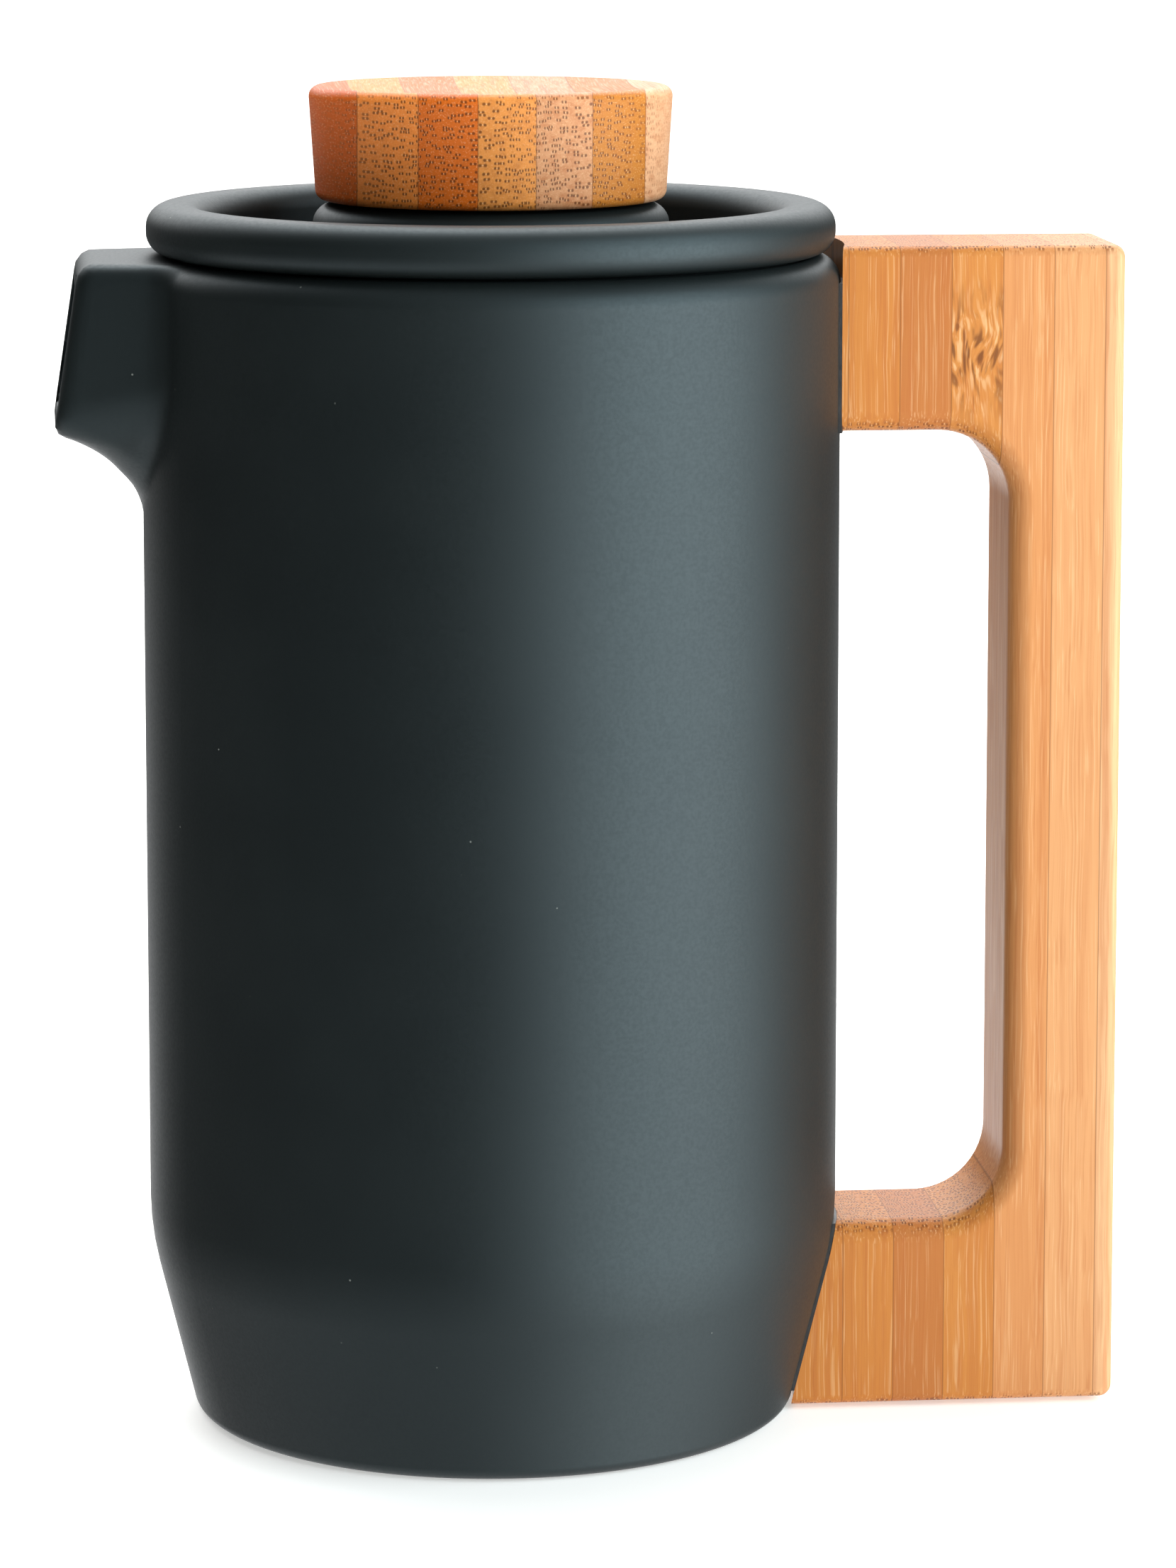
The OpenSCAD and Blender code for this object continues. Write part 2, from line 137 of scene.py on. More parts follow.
class StonewareSettings(bpy.types.PropertyGroup):
    wall: length("Wall", "Thickness of the jug's wall", 5, 3)
    floor: length("Floor", "Height of the jug's inner floor above the table", 7, 4)
    taper_h: length("Taper height", "Height where the foot taper meets the straight wall", 28.5, 10)
    taper_lean: angle("Taper lean", "Lean of the foot taper from the vertical", 13.9)
    taper_bend: length("Taper bend", "Radius of the bend between taper and wall", 43, 5)
    shoulder: length("Shoulder", "Round on the jug's outer shoulder", 4, 1)
    lip_drop: length("Lip drop", "Depth of the lip's underside below the rim", 25.3, 10)
    lip_half: length("Lip half width", "Half the width of the spout at the lip", 14.5, 8)
    spout_top: length("Spout top reach", "How far the top of the spout stands out from the wall", 9.5, 4)
    spout_edge: length("Spout edge", "Round on the upright edges beside the mouth", 1.7, 0.5)
    spout_blend: length("Spout blend", "Radius of the soft seam between spout and wall", 2.2, 0.5)
    clay: colour("Clay", "Body colour of the matte glaze", "#0e1211")
    clay_light: colour("Clay clouding", "Faint lighter clouding in the glaze", "#131716")
    sheen: colour("Sheen", "Tint of the reflections in the glaze", "#ddf6ff")
    speck: colour("Speck", "Pale mineral specks", "#a9aca4")


class BambooSettings(bpy.types.PropertyGroup):
    strip: length("Strip", "Width of one laminated strip", 7.85, 3)
    grip: length("Grip width", "Width of the upright grip, from the side", 17.3, 10)
    upper_arm: length("Upper arm", "Height of the upper arm", 28.2, 10)
    lower_arm: length("Lower arm", "Height of the lower arm", 28.8, 10)
    gap_corner: length("Gap corner", "Round in the corners of the finger gap", 11, 3)
    gap_edge: length("Gap edge", "Round on the edges of the finger gap", 3.4, 0.5)
    outer_edge: length("Outer edge", "Round on the slab's outer edges", 1.7, 0.3)
    dish: length("Dish", "Depth of the knob's dished top", 2, 0.5)
    cream: colour("Cream", "Palest fibres, and the hearts of the bundles", "#eec796")
    resin: colour("Resin", "Streaks with more resin in them", "#ad5f2c")
    bundle: colour("Bundle", "Dark sheath of the fibre bundles", "#5c2c10")
    glue: colour("Glue line", "Thin line between two strips", "#6b3c1c")


class HardwareSettings(bpy.types.PropertyGroup):
    wire: length("Spring wire", "Thickness of the spring's wire", 0.8, 0.3)
    coil_pitch: length("Coil pitch", "Spacing of the spring's coils along the ring", 1.5, 0.8)
    weave: length("Weave", "Spacing of the mesh's wires, drawn coarse enough to show", 0.7, 0.2)
    steps: IntProperty(name="Steps", description="Flat sides round a turned piece", default=144, min=32)
    steel: colour("Steel", "Stainless steel", "#c9ccce")
    brass: colour("Brass", "Turned brass", "#c9a256")


class StageSettings(bpy.types.PropertyGroup):
    floor: colour("Floor", "Pale floor", "#f4f4f2")
    glow: strength("Glow", "Light from under the floor", 0.5)
    front_light: strength("Room light", "Brightness of the room round the table", 0.03)
    table_light: strength("Table light", "Brightness of the table in reflections", 1.1)
    back_light: strength("Back light", "Brightness above and behind", 3.2)
    far_light: strength("Far table light", "Brightness of the table behind", 2.6)
    key_light: strength("Key light", "Brightness of the side light in the table", 4.8)
    lens: FloatProperty(name="Lens", description="Focal length for a 36 mm sensor", default=133, min=20)
    distance: length("Distance", "From the jug's axis to the camera, along the floor", 877, 100)
    eye: length("Eye height", "Height of the camera above the floor", 251.2, 0)
    swing: angle("Swing", "Turn of the camera round the jug towards the spout", 4.5)
    pan: angle("Pan", "Turn of the camera to the right of the jug's axis", 0.96)
    tilt: angle("Tilt", "Downward tilt of the camera", 7.97)
    shift: FloatProperty(name="Shift", description="Downward shift of the lens", default=-0.13)


class PressSettings(bpy.types.PropertyGroup):
    stoneware: PointerProperty(type=StonewareSettings)
    bamboo: PointerProperty(type=BambooSettings)
    hardware: PointerProperty(type=HardwareSettings)
    stage: PointerProperty(type=StageSettings)


# ---------------------------------------------------------------------------
# Outlines
# ---------------------------------------------------------------------------

def outline(corners, closed=True, turn=9):
    """Points through corners given as (x, z, round) in millimetres, with arcs in steps of turn degrees."""
    points = []
    count = len(corners)
    for i, (x, z, radius) in enumerate(corners):
        here = Vector((x, z))
        if radius <= 0 or (not closed and i in (0, count - 1)):
            points.append(here)
            continue
        back = (Vector(corners[i - 1][:2]) - here).normalized()
        ahead = (Vector(corners[(i + 1) % count][:2]) - here).normalized()
        half = math.acos(max(-1.0, min(1.0, back.dot(ahead)))) / 2
        centre = here + (back + ahead).normalized() * radius / math.sin(half)
        start = here + back * radius / math.tan(half) - centre
        finish = here + ahead * radius / math.tan(half) - centre
        sweep = math.atan2(start.x * finish.y - start.y * finish.x, start.dot(finish))
        steps = max(2, math.ceil(abs(sweep) / math.radians(turn)))
        points += [centre + Matrix.Rotation(sweep * k / steps, 2) @ start for k in range(steps + 1)]
    return points


def divided(points, longest, wanted):
    """The same outline with points added, so that no stretch between two wanted points is over longest."""
    result = [points[0]]
    for start, end in zip(points, points[1:]):
        pieces = max(1, math.ceil((end - start).length / longest)) if wanted(start) and wanted(end) else 1
        result += [start.lerp(end, k / pieces) for k in range(1, pieces + 1)]
    return result


# ---------------------------------------------------------------------------
# Ways of making a piece
# ---------------------------------------------------------------------------

def deselect():
    """Leaves nothing selected."""
    bpy.ops.object.select_all(action="DESELECT")


def make_active(piece):
    """Selects one piece alone, so that the next tool works on it."""
    deselect()
    piece.select_set(True)
    bpy.context.view_layer.objects.active = piece


def draw_wire(name, points, closed=False):
    """A new piece in edit mode that is one wire through (x, z) points, drawn in the plane y = 0."""
    deselect()
    bpy.ops.mesh.primitive_plane_add(size=MM, location=(points[0].x * MM, 0, points[0].y * MM))
    piece = bpy.context.object
    bpy.ops.object.transform_apply(location=True)
    piece.name = piece.data.name = name
    bpy.ops.object.mode_set(mode="EDIT")
    bpy.ops.mesh.select_mode(type="VERT")
    bpy.ops.mesh.select_all(action="SELECT")
    bpy.ops.mesh.merge(type="CENTER")
    for start, end in zip(points, points[1:] + points[:1] if closed else points[1:]):
        step = (end - start) * MM
        bpy.ops.mesh.extrude_region_move(TRANSFORM_OT_translate={"value": (step.x, 0, step.y)})
    return piece


def close_shell(piece):
    """Merges doubled points, turns every face outwards and leaves edit mode."""
    bpy.ops.mesh.select_all(action="SELECT")
    bpy.ops.mesh.remove_doubles(threshold=WELD)
    bpy.ops.mesh.select_all(action="SELECT")
    bpy.ops.mesh.normals_make_consistent(inside=False)
    bpy.ops.mesh.select_all(action="DESELECT")
    bpy.ops.object.mode_set(mode="OBJECT")
    return piece


def smooth(piece, angle=32):
    """Smooth shading with edges sharper than the angle kept crisp, and large flats kept flat."""
    make_active(piece)
    bpy.ops.object.shade_smooth_by_angle(angle=math.radians(angle))
    apply_modifier(piece, "WEIGHTED_NORMAL", keep_sharp=True, weight=60)
    return piece


def apply_modifier(piece, kind, **settings):
    """Adds a modifier to a piece, with its settings, and applies it."""
    make_active(piece)
    modifier = piece.modifiers.new(kind.title(), kind)
    for key, value in settings.items():
        setattr(modifier, key, value)
    bpy.ops.object.modifier_apply(modifier=modifier.name)


def spin(turn, steps):
    """Turns the selected wire about the jug's axis into a skin."""
    bpy.ops.mesh.spin(steps=steps, angle=turn, center=(0, 0, 0), axis=(0, 0, 1))


def push(x, y, z):
    """Extrudes what is selected by a way in millimetres."""
    bpy.ops.mesh.extrude_region_move(TRANSFORM_OT_translate={"value": (x * MM, y * MM, z * MM)})


def closed_wire(name, points):
    """A closed wire through (x, z) points, welded and selected in edit mode."""
    piece = draw_wire(name, points, closed=True)
    bpy.ops.mesh.select_all(action="SELECT")
    bpy.ops.mesh.remove_doubles(threshold=WELD)
    return piece


def upright_cylinder(name, sides, radius, foot, top):
    """A cylinder on the jug's axis, from one height to another."""
    deselect()
    bpy.ops.mesh.primitive_cylinder_add(vertices=sides, radius=radius * MM, depth=(top - foot) * MM,
                                        location=(0, 0, (foot + top) / 2 * MM))
    piece = bpy.context.object
    bpy.ops.object.transform_apply(location=True)
    piece.name = piece.data.name = name
    return piece


def own_copy(piece):
    """A copy of a piece with a mesh of its own, in the scene."""
    copy = piece.copy()
    copy.data = piece.data.copy()
    bpy.context.scene.collection.objects.link(copy)
    return copy


def turned(name, corners, closed=True, turn=9, steps=None):
    """A piece turned about the jug's axis from corners given as (radius, height, round)."""
    piece = draw_wire(name, outline(corners, closed, turn), closed)
    bpy.ops.mesh.select_all(action="SELECT")
    spin(2 * math.pi, steps or bpy.context.scene.press.hardware.steps)
    return smooth(close_shell(piece))


def slab(name, points, near_y, far_y):
    """A solid slab with an outline in x and z, from near_y to far_y, left in edit mode."""
    piece = closed_wire(name, points)
    bpy.ops.mesh.edge_face_add()
    bpy.ops.transform.translate(value=(0, near_y * MM, 0))
    push(0, far_y - near_y, 0)
    return piece


def cut(piece, cutter):
    """Cuts a solid out of a piece and removes the cutter."""
    apply_modifier(piece, "BOOLEAN", object=cutter, operation="DIFFERENCE", solver="EXACT")
    bpy.data.objects.remove(cutter)


def select_edges(piece, wanted):
    """Selects the edges of the piece in edit mode whose two ends, in millimetres, pass the test."""
    bpy.ops.mesh.select_all(action="DESELECT")
    bpy.ops.mesh.select_mode(type="EDGE")
    shape = bmesh.from_edit_mesh(piece.data)
    for edge in shape.edges:
        edge.select_set(wanted(edge.verts[0].co / MM, edge.verts[1].co / MM))
    shape.select_flush_mode()
    bmesh.update_edit_mesh(piece.data)


def select_faces(piece, wanted):
    """Selects the faces of the piece in edit mode whose centre, in millimetres, and normal pass the test."""
    bpy.ops.mesh.select_all(action="DESELECT")
    bpy.ops.mesh.select_mode(type="FACE")
    shape = bmesh.from_edit_mesh(piece.data)
    for face in shape.faces:
        face.select_set(wanted(face.calc_center_median() / MM, face.normal))
    bmesh.update_edit_mesh(piece.data)


def finish_piece(piece, body, slot, material, *nodes):
    """Gives a piece its material and body, and hides the CAD nodes that it stands for; slot is not used."""
    piece.data.materials.clear()
    piece.data.materials.append(material)
    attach(piece, body)
    if nodes:
        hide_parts(*nodes)
    return piece


def finish_node(name, material):
    """Gives a CAD node that is shown as it is its material."""
    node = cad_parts[name]
    node.data.materials.clear()
    node.data.materials.append(material)


# ---------------------------------------------------------------------------
# Materials
# ---------------------------------------------------------------------------

def join(tree, value, socket):
    """Gives a socket a value, a link from another socket, or a link from a node's first output."""
    if isinstance(value, bpy.types.Node):
        value = value.outputs[0]
    if isinstance(value, bpy.types.NodeSocket):
        tree.links.new(value, socket)
    else:
        socket.default_value = value


def add(tree, kind, inputs=(), **settings):
    """Adds a shader node, sets its settings, and joins its inputs to what they are given."""
    made = tree.nodes.new("ShaderNode" + kind)
    for key, value in settings.items():
        setattr(made, key, value)
    for socket, value in dict(inputs).items():
        join(tree, value, made.inputs[socket])
    return made


def new_material(name):
    """A material with an empty tree, and its shader joined to the output."""
    material = bpy.data.materials.get(name)
    if material:
        return material, None, None
    material = bpy.data.materials.new(name)
    material.use_nodes = True
    tree = material.node_tree
    tree.nodes.clear()
    shader = add(tree, "BsdfPrincipled")
    add(tree, "OutputMaterial", {"Surface": shader.outputs["BSDF"]})
    return material, tree, shader


def set_shader(tree, shader, **inputs):
    """Sets the shader's inputs, whose names are written with _ for a space."""
    for name, value in inputs.items():
        join(tree, value, shader.inputs[name.replace("_", " ")])


def in_mm(tree, turn=(0, 0, 0), scale=(1, 1, 1)):
    """Object coordinates in millimetres, turned and then divided by a size along each axis."""
    place = add(tree, "TexCoord").outputs["Object"]
    turned_place = add(tree, "Mapping", {"Vector": place, "Rotation": turn, "Scale": (1 / MM,) * 3})
    return add(tree, "Mapping", {"Vector": turned_place.outputs[0], "Scale": scale}).outputs[0]


def matte_stoneware():
    """Stoneware fired with a thin matte black glaze: near black, with a broad cool sheen, faint level lines
    from the wheel and a few pale specks."""
    material, tree, shader = new_material("matte_stoneware")
    if not tree:
        return material
    looks = bpy.context.scene.press.stoneware
    cloud, grit_size, line_l, line_w, speck_gap = 30, 0.5, 90, 1.6, 6
    clouds = add(tree, "TexNoise", {"Vector": in_mm(tree), "Scale": 1 / cloud, "Detail": 2.0})
    body = add(tree, "Mix", {
        0: add(tree, "MapRange", {0: clouds.outputs[0], 1: 0.3, 2: 0.7}, interpolation_type="SMOOTHSTEP"),
        6: looks.clay,
        7: looks.clay_light,
    }, data_type="RGBA").outputs[2]
    cells = add(tree, "TexVoronoi", {"Vector": in_mm(tree), "Scale": 1 / speck_gap})
    rare = add(tree, "SeparateColor", {"Color": cells.outputs["Color"]}).outputs[0]
    spot = add(tree, "Math", {
        0: add(tree, "MapRange", {
            0: cells.outputs["Distance"], 1: 0.014, 2: 0.034, 3: 1, 4: 0,
        }, interpolation_type="SMOOTHSTEP"),
        1: add(tree, "MapRange", {
            0: rare, 1: 0.45, 2: 0.95, 3: 0, 4: 0.4,
        }, interpolation_type="SMOOTHSTEP"),
    }, operation="MULTIPLY")
    grit = add(tree, "TexNoise", {"Vector": in_mm(tree), "Scale": 1 / grit_size, "Detail": 2.0})
    wheel = in_mm(tree, scale=(1 / line_l, 1 / line_l, 1 / line_w))
    lines = add(tree, "TexNoise", {"Vector": wheel, "Scale": 1.0, "Detail": 2.0})
    height = add(tree, "Math", {0: lines.outputs[0], 1: 0.5, 2: grit.outputs[0]}, operation="MULTIPLY_ADD")
    bump = add(tree, "Bump", {"Height": height, "Strength": 0.25, "Distance": 0.02 * MM})
    set_shader(
        tree,
        shader,
        Base_Color=add(tree, "Mix", {0: spot, 6: body, 7: looks.speck}, data_type="RGBA").outputs[2],
        Roughness=add(tree, "MapRange", {
            0: grit.outputs[0], 1: 0.3, 2: 0.7, 3: 0.48, 4: 0.54,
        }, interpolation_type="SMOOTHSTEP"),
        Normal=bump.outputs[0],
        IOR=1.5,
        Specular_IOR_Level=0.5,
        Specular_Tint=looks.sheen,
    )
    return material


def strip_tones(tree, number, tones):
    """The colour of each strip, from its number."""
    share = add(tree, "Math", {0: number, 1: 1 / len(tones), 2: 0.5 / len(tones)}, operation="MULTIPLY_ADD")
    made = add(tree, "ValToRGB", {"Fac": share})
    ramp = made.color_ramp
    ramp.interpolation = "CONSTANT"
    ramp.elements.remove(ramp.elements[1])
    ramp.elements[0].color = linear(tones[0])
    for k, shade in enumerate(tones[1:], 1):
        ramp.elements.new(k / len(tones)).color = linear(shade)
    return made.outputs[0]


def fibre_bundles(tree, wide, deep, number):
    """Fibre bundles scattered over a cut end: how far a point lies in a bundle's dark sheath, which is a pair
    of lobes, and how far in its pale heart. The lobes are drawn a little large, so that they show."""
    bundle_w, bundle_h = 1.3, 0.95
    lobe, lobe_w, lobe_h = 0.23, 0.19, 0.27
    column = add(tree, "Math", {
        0: wide, 1: 1 / bundle_w, 2: add(tree, "Math", {0: number, 1: 37}, operation="MULTIPLY"),
    }, operation="MULTIPLY_ADD")
    row = add(tree, "Math", {0: deep, 1: 1 / bundle_h}, operation="MULTIPLY")
    grid = add(tree, "CombineXYZ", {0: column, 1: row}).outputs[0]
    bundles = add(tree, "TexVoronoi", {"Vector": grid, "Scale": 1.0, "Randomness": 0.85},
                  voronoi_dimensions="2D")
    in_bundle = add(tree, "SeparateXYZ", {
        0: add(tree, "VectorMath", {0: grid, 1: bundles.outputs["Position"]}, operation="SUBTRACT"),
    }).outputs
    beside = add(tree, "Math", {
        0: add(tree, "Math", {0: in_bundle[0]}, operation="ABSOLUTE"), 1: bundle_w,
    }, operation="MULTIPLY")
    above = add(tree, "Math", {0: in_bundle[1], 1: bundle_h}, operation="MULTIPLY")

    def distance(sideways, height):
        way = add(tree, "CombineXYZ", {0: sideways, 1: height}).outputs[0]
        return add(tree, "VectorMath", {0: way}, operation="LENGTH").outputs[1]

    from_lobe = distance(
        add(tree, "Math", {0: beside, 1: 1 / lobe_w, 2: -lobe / lobe_w}, operation="MULTIPLY_ADD"),
        add(tree, "Math", {0: above, 1: 1 / lobe_h}, operation="MULTIPLY"),
    )
    sheath = add(tree, "MapRange", {
        0: from_lobe, 1: 0.45, 2: 1.2, 3: 1, 4: 0,
    }, interpolation_type="SMOOTHSTEP")
    heart = add(tree, "MapRange", {
        0: distance(beside, above), 1: 0.05, 2: 0.13, 3: 1, 4: 0,
    }, interpolation_type="SMOOTHSTEP")
    return sheath, heart


def laminated_bamboo(name, fibre_turn, strip, strip_start, tones, seed, culm=None):
    """Laminated bamboo, sanded and oiled: strips of unlike tone with thin glue lines, fine straight fibres, and
    fibre bundles that are dark dots with a pale heart on cut ends and thin lines along the strip. fibre_turn
    turns the fibres to z, tones are the strips' colours from strip_start on, and culm is the (strip, height)
    of a swirl where the cane had a joint."""
    material, tree, shader = new_material(name)
    if not tree:
        return material
    looks = bpy.context.scene.press.bamboo
    place = in_mm(tree, fibre_turn)
    apart = add(tree, "SeparateXYZ", {0: place}).outputs
    count = add(tree, "Math", {
        0: apart[0], 1: 1 / strip, 2: -strip_start / strip,
    }, operation="MULTIPLY_ADD")
    number = add(tree, "Math", {0: count}, operation="FLOOR")
    across = add(tree, "Math", {0: count}, operation="FRACT")
    draw = add(tree, "Math", {0: number, 1: seed}, operation="ADD")
    chance = add(tree, "TexWhiteNoise", {"W": draw}, noise_dimensions="1D")
    chances = add(tree, "SeparateColor", {"Color": chance.outputs["Color"]}).outputs
    moved = add(tree, "VectorMath", {0: chance.outputs["Color"], 1: (60, 60, 400)}, operation="MULTIPLY")
    own_place = add(tree, "VectorMath", {0: place, 1: moved}, operation="ADD")

    def fibres_of(source, width, size, detail):
        ratio = (1 / width, 1 / width, 1 / size)
        sized = add(tree, "Mapping", {"Vector": source, "Scale": ratio}).outputs[0]
        return add(tree, "TexNoise", {"Vector": sized, "Scale": 1.0, "Detail": detail}).outputs

    # the fibres wander a little, and more near the cane's joint
    sway, culm_sway, culm_reach = 0.9, 6.0, 13
    if culm:
        from_culm = add(tree, "Math", {
            0: add(tree, "Math", {0: apart[2], 1: culm[1]}, operation="SUBTRACT"),
        }, operation="ABSOLUTE")
        this_strip = add(tree, "Math", {0: number, 1: culm[0], 2: 0.5}, operation="COMPARE")
        swirl = add(tree, "Math", {
            0: this_strip,
            1: add(tree, "MapRange", {
                0: from_culm, 1: 1, 2: culm_reach, 3: 1, 4: 0,
            }, interpolation_type="SMOOTHSTEP"),
        }, operation="MULTIPLY")
        sway = add(tree, "Math", {0: swirl, 1: culm_sway, 2: sway}, operation="MULTIPLY_ADD")
    drift = add(tree, "VectorMath", {
        0: fibres_of(own_place, 6, 14, 1.0)["Color"], 1: (0.5, 0.5, 0.5),
    }, operation="SUBTRACT")
    swayed = add(tree, "VectorMath", {0: drift, "Scale": sway}, operation="SCALE").outputs[0]
    grown = add(tree, "VectorMath", {0: own_place, 1: swayed}, operation="ADD")
    fine, streaks = fibres_of(grown, 0.26, 30, 2.0)[0], fibres_of(grown, 1.3, 80, 2.0)[0]

    # the bundles lie closer together towards the side of a strip that was the cane's skin
    from_skin = add(tree, "Math", {
        0: add(tree, "Math", {
            0: add(tree, "Math", {0: chances[1]}, operation="ROUND"), 1: across,
        }, operation="SUBTRACT"),
    }, operation="ABSOLUTE")
    packed = add(tree, "Math", {
        0: from_skin, 1: add(tree, "Math", {0: from_skin, 1: 0.35, 2: 0.65}, operation="MULTIPLY_ADD"),
    }, operation="MULTIPLY")
    wide = add(tree, "Math", {
        0: packed, 1: strip, 2: add(tree, "SeparateXYZ", {0: swayed}).outputs[0],
    }, operation="MULTIPLY_ADD")
    sheath, heart = fibre_bundles(tree, wide, add(tree, "SeparateXYZ", {0: grown}).outputs[1], number)
    normal = add(tree, "TexCoord").outputs["Normal"]
    facing = add(tree, "Mapping", {"Vector": normal, "Rotation": fibre_turn}, vector_type="NORMAL")
    end_cut = add(tree, "Math", {
        0: add(tree, "SeparateXYZ", {0: facing.outputs[0]}).outputs[2],
    }, operation="ABSOLUTE")
    on_end = add(tree, "MapRange", {0: end_cut, 1: 0.2, 2: 0.9}, interpolation_type="SMOOTHSTEP")

    resin = add(tree, "MapRange", {
        0: streaks, 1: 0.42, 2: 0.72, 3: 0, 4: 0.5,
    }, interpolation_type="SMOOTHSTEP")
    resin = add(tree, "Math", {
        0: resin, 1: add(tree, "Math", {0: chances[2], 1: 0.8, 2: 0.2}, operation="MULTIPLY_ADD"),
    }, operation="MULTIPLY")
    dark_line = add(tree, "Mix", {0: on_end, 6: looks.resin, 7: looks.bundle}, data_type="RGBA").outputs[2]
    layers = [
        (resin, looks.resin),
        (
            add(tree, "MapRange", {
                0: fine, 1: 0.28, 2: 0.46, 3: 0.28, 4: 0,
            }, interpolation_type="SMOOTHSTEP"),
            looks.cream,
        ),
        (
            add(tree, "MapRange", {
                0: fine, 1: 0.54, 2: 0.74, 3: 0, 4: 0.3,
            }, interpolation_type="SMOOTHSTEP"),
            looks.resin,
        ),
        (
            add(tree, "Math", {
                0: sheath,
                1: add(tree, "MapRange", {
                    0: on_end, 1: 0, 2: 1, 3: 0.22, 4: 0.78,
                }, interpolation_type="SMOOTHSTEP"),
            }, operation="MULTIPLY"),
            dark_line,
        ),
        (
            add(tree, "Math", {
                0: heart,
                1: add(tree, "MapRange", {
                    0: on_end, 1: 0, 2: 1, 3: 0.12, 4: 0.5,
                }, interpolation_type="SMOOTHSTEP"),
            }, operation="MULTIPLY"),
            looks.cream,
        ),
    ]
    if culm:
        knots = fibres_of(grown, 0.8, 5, 1.0)[0]
        layers += [
            (
                add(tree, "Math", {
                    0: swirl,
                    1: add(tree, "MapRange", {
                        0: knots, 1: 0.48, 2: 0.66, 3: 0, 4: 0.75,
                    }, interpolation_type="SMOOTHSTEP"),
                }, operation="MULTIPLY"),
                looks.bundle,
            ),
            (
                add(tree, "Math", {
                    0: swirl,
                    1: add(tree, "MapRange", {
                        0: knots, 1: 0.32, 2: 0.46, 3: 0.45, 4: 0,
                    }, interpolation_type="SMOOTHSTEP"),
                }, operation="MULTIPLY"),
                looks.cream,
            ),
        ]
    glue_line, glue_edge = 0.03, 0.13
    edge = add(tree, "Math", {
        0: across, 1: add(tree, "Math", {0: 1.0, 1: across}, operation="SUBTRACT"),
    }, operation="MINIMUM")
    layers.append(
        (
            add(tree, "MapRange", {
                0: edge, 1: glue_line / strip, 2: glue_edge / strip, 3: 0.5, 4: 0,
            }, interpolation_type="SMOOTHSTEP"),
            looks.glue,
        ),
    )
    wood = strip_tones(tree, number, tones)
    for strength_of, shade in layers:
        wood = add(tree, "Mix", {0: strength_of, 6: wood, 7: shade}, data_type="RGBA").outputs[2]

    height = add(tree, "Math", {
        0: fine, 1: add(tree, "Math", {0: sheath, 1: on_end}, operation="MULTIPLY"),
    }, operation="SUBTRACT")
    bump = add(tree, "Bump", {"Height": height, "Strength": 0.3, "Distance": 0.04 * MM})
    set_shader(
        tree,
        shader,
        Base_Color=wood,
        Roughness=add(tree, "MapRange", {
            0: fine, 1: 0.3, 2: 0.7, 3: 0.36, 4: 0.48,
        }, interpolation_type="SMOOTHSTEP"),
        Normal=bump.outputs[0],
        IOR=1.5,
        Specular_IOR_Level=0.2,
    )
    return material


def turned_steel():
    """Stainless steel, turned and brushed: a satin metal whose fine rings draw the highlight out."""
    material, tree, shader = new_material("turned_stainless_steel")
    if not tree:
        return material
    ring_pitch, smear, bands = 0.35, 18, 20  # a wave texture draws 20 bands to a unit at scale 1
    rings = add(tree, "TexWave", {
        "Vector": in_mm(tree), "Scale": 1 / ring_pitch / bands, "Distortion": 0.6,
    }, wave_type="RINGS", rings_direction="Z")
    marks = add(tree, "TexNoise", {"Vector": in_mm(tree), "Scale": 1 / smear, "Detail": 4.0})
    bump = add(tree, "Bump", {"Height": rings.outputs[1], "Strength": 0.12, "Distance": 0.02 * MM})
    steel = bpy.context.scene.press.hardware.steel
    set_shader(
        tree,
        shader,
        Base_Color=steel,
        Metallic=1.0,
        Roughness=add(tree, "MapRange", {
            0: marks.outputs[0], 1: 0.3, 2: 0.7, 3: 0.2, 4: 0.32,
        }, interpolation_type="SMOOTHSTEP"),
        Normal=bump.outputs[0],
    )
    return material


def woven_mesh():
    """Fine stainless wire cloth, plain weave: bright wires that pass over and under, with painted shade in the
    dark openings between them. The weave is drawn several times coarser than the real one, so that it shows."""
    material, tree, shader = new_material("stainless_wire_cloth")
    if not tree:
        return material
    looks = bpy.context.scene.press.hardware
    turn = math.pi * MM / looks.weave
    waves = [
        add(tree, "Math", {
            0: add(tree, "Math", {
                0: add(tree, "Math", {0: socket, 1: turn}, operation="MULTIPLY"),
            }, operation="SINE"),
        }, operation="ABSOLUTE")
        for socket in add(tree, "SeparateXYZ", {0: in_mm(tree)}).outputs
    ]
    flat_weave = add(tree, "Math", {0: waves[0], 1: waves[1]}, operation="MAXIMUM")
    height = add(tree, "Math", {
        0: flat_weave, 1: add(tree, "Math", {0: waves[2], 1: 0.9}, operation="MULTIPLY"),
    }, operation="MAXIMUM")
    bump = add(tree, "Bump", {"Height": height, "Strength": 0.8, "Distance": 0.12 * MM})
    wire = add(tree, "MapRange", {0: height, 1: 0.55, 2: 0.9}, interpolation_type="SMOOTHSTEP")
    set_shader(
        tree,
        shader,
        # painted shade: the openings between the wires are coloured dark, and only the raised wires get the
        # steel colour
        Base_Color=add(tree, "Mix", {
            0: wire, 6: linear("#2a2c2e"), 7: looks.steel,
        }, data_type="RGBA").outputs[2],
        Metallic=1.0,
        Roughness=add(tree, "MapRange", {
            0: height, 1: 0.5, 2: 1.0, 3: 0.6, 4: 0.3,
        }, interpolation_type="SMOOTHSTEP"),
        Normal=bump.outputs[0],
    )
    return material


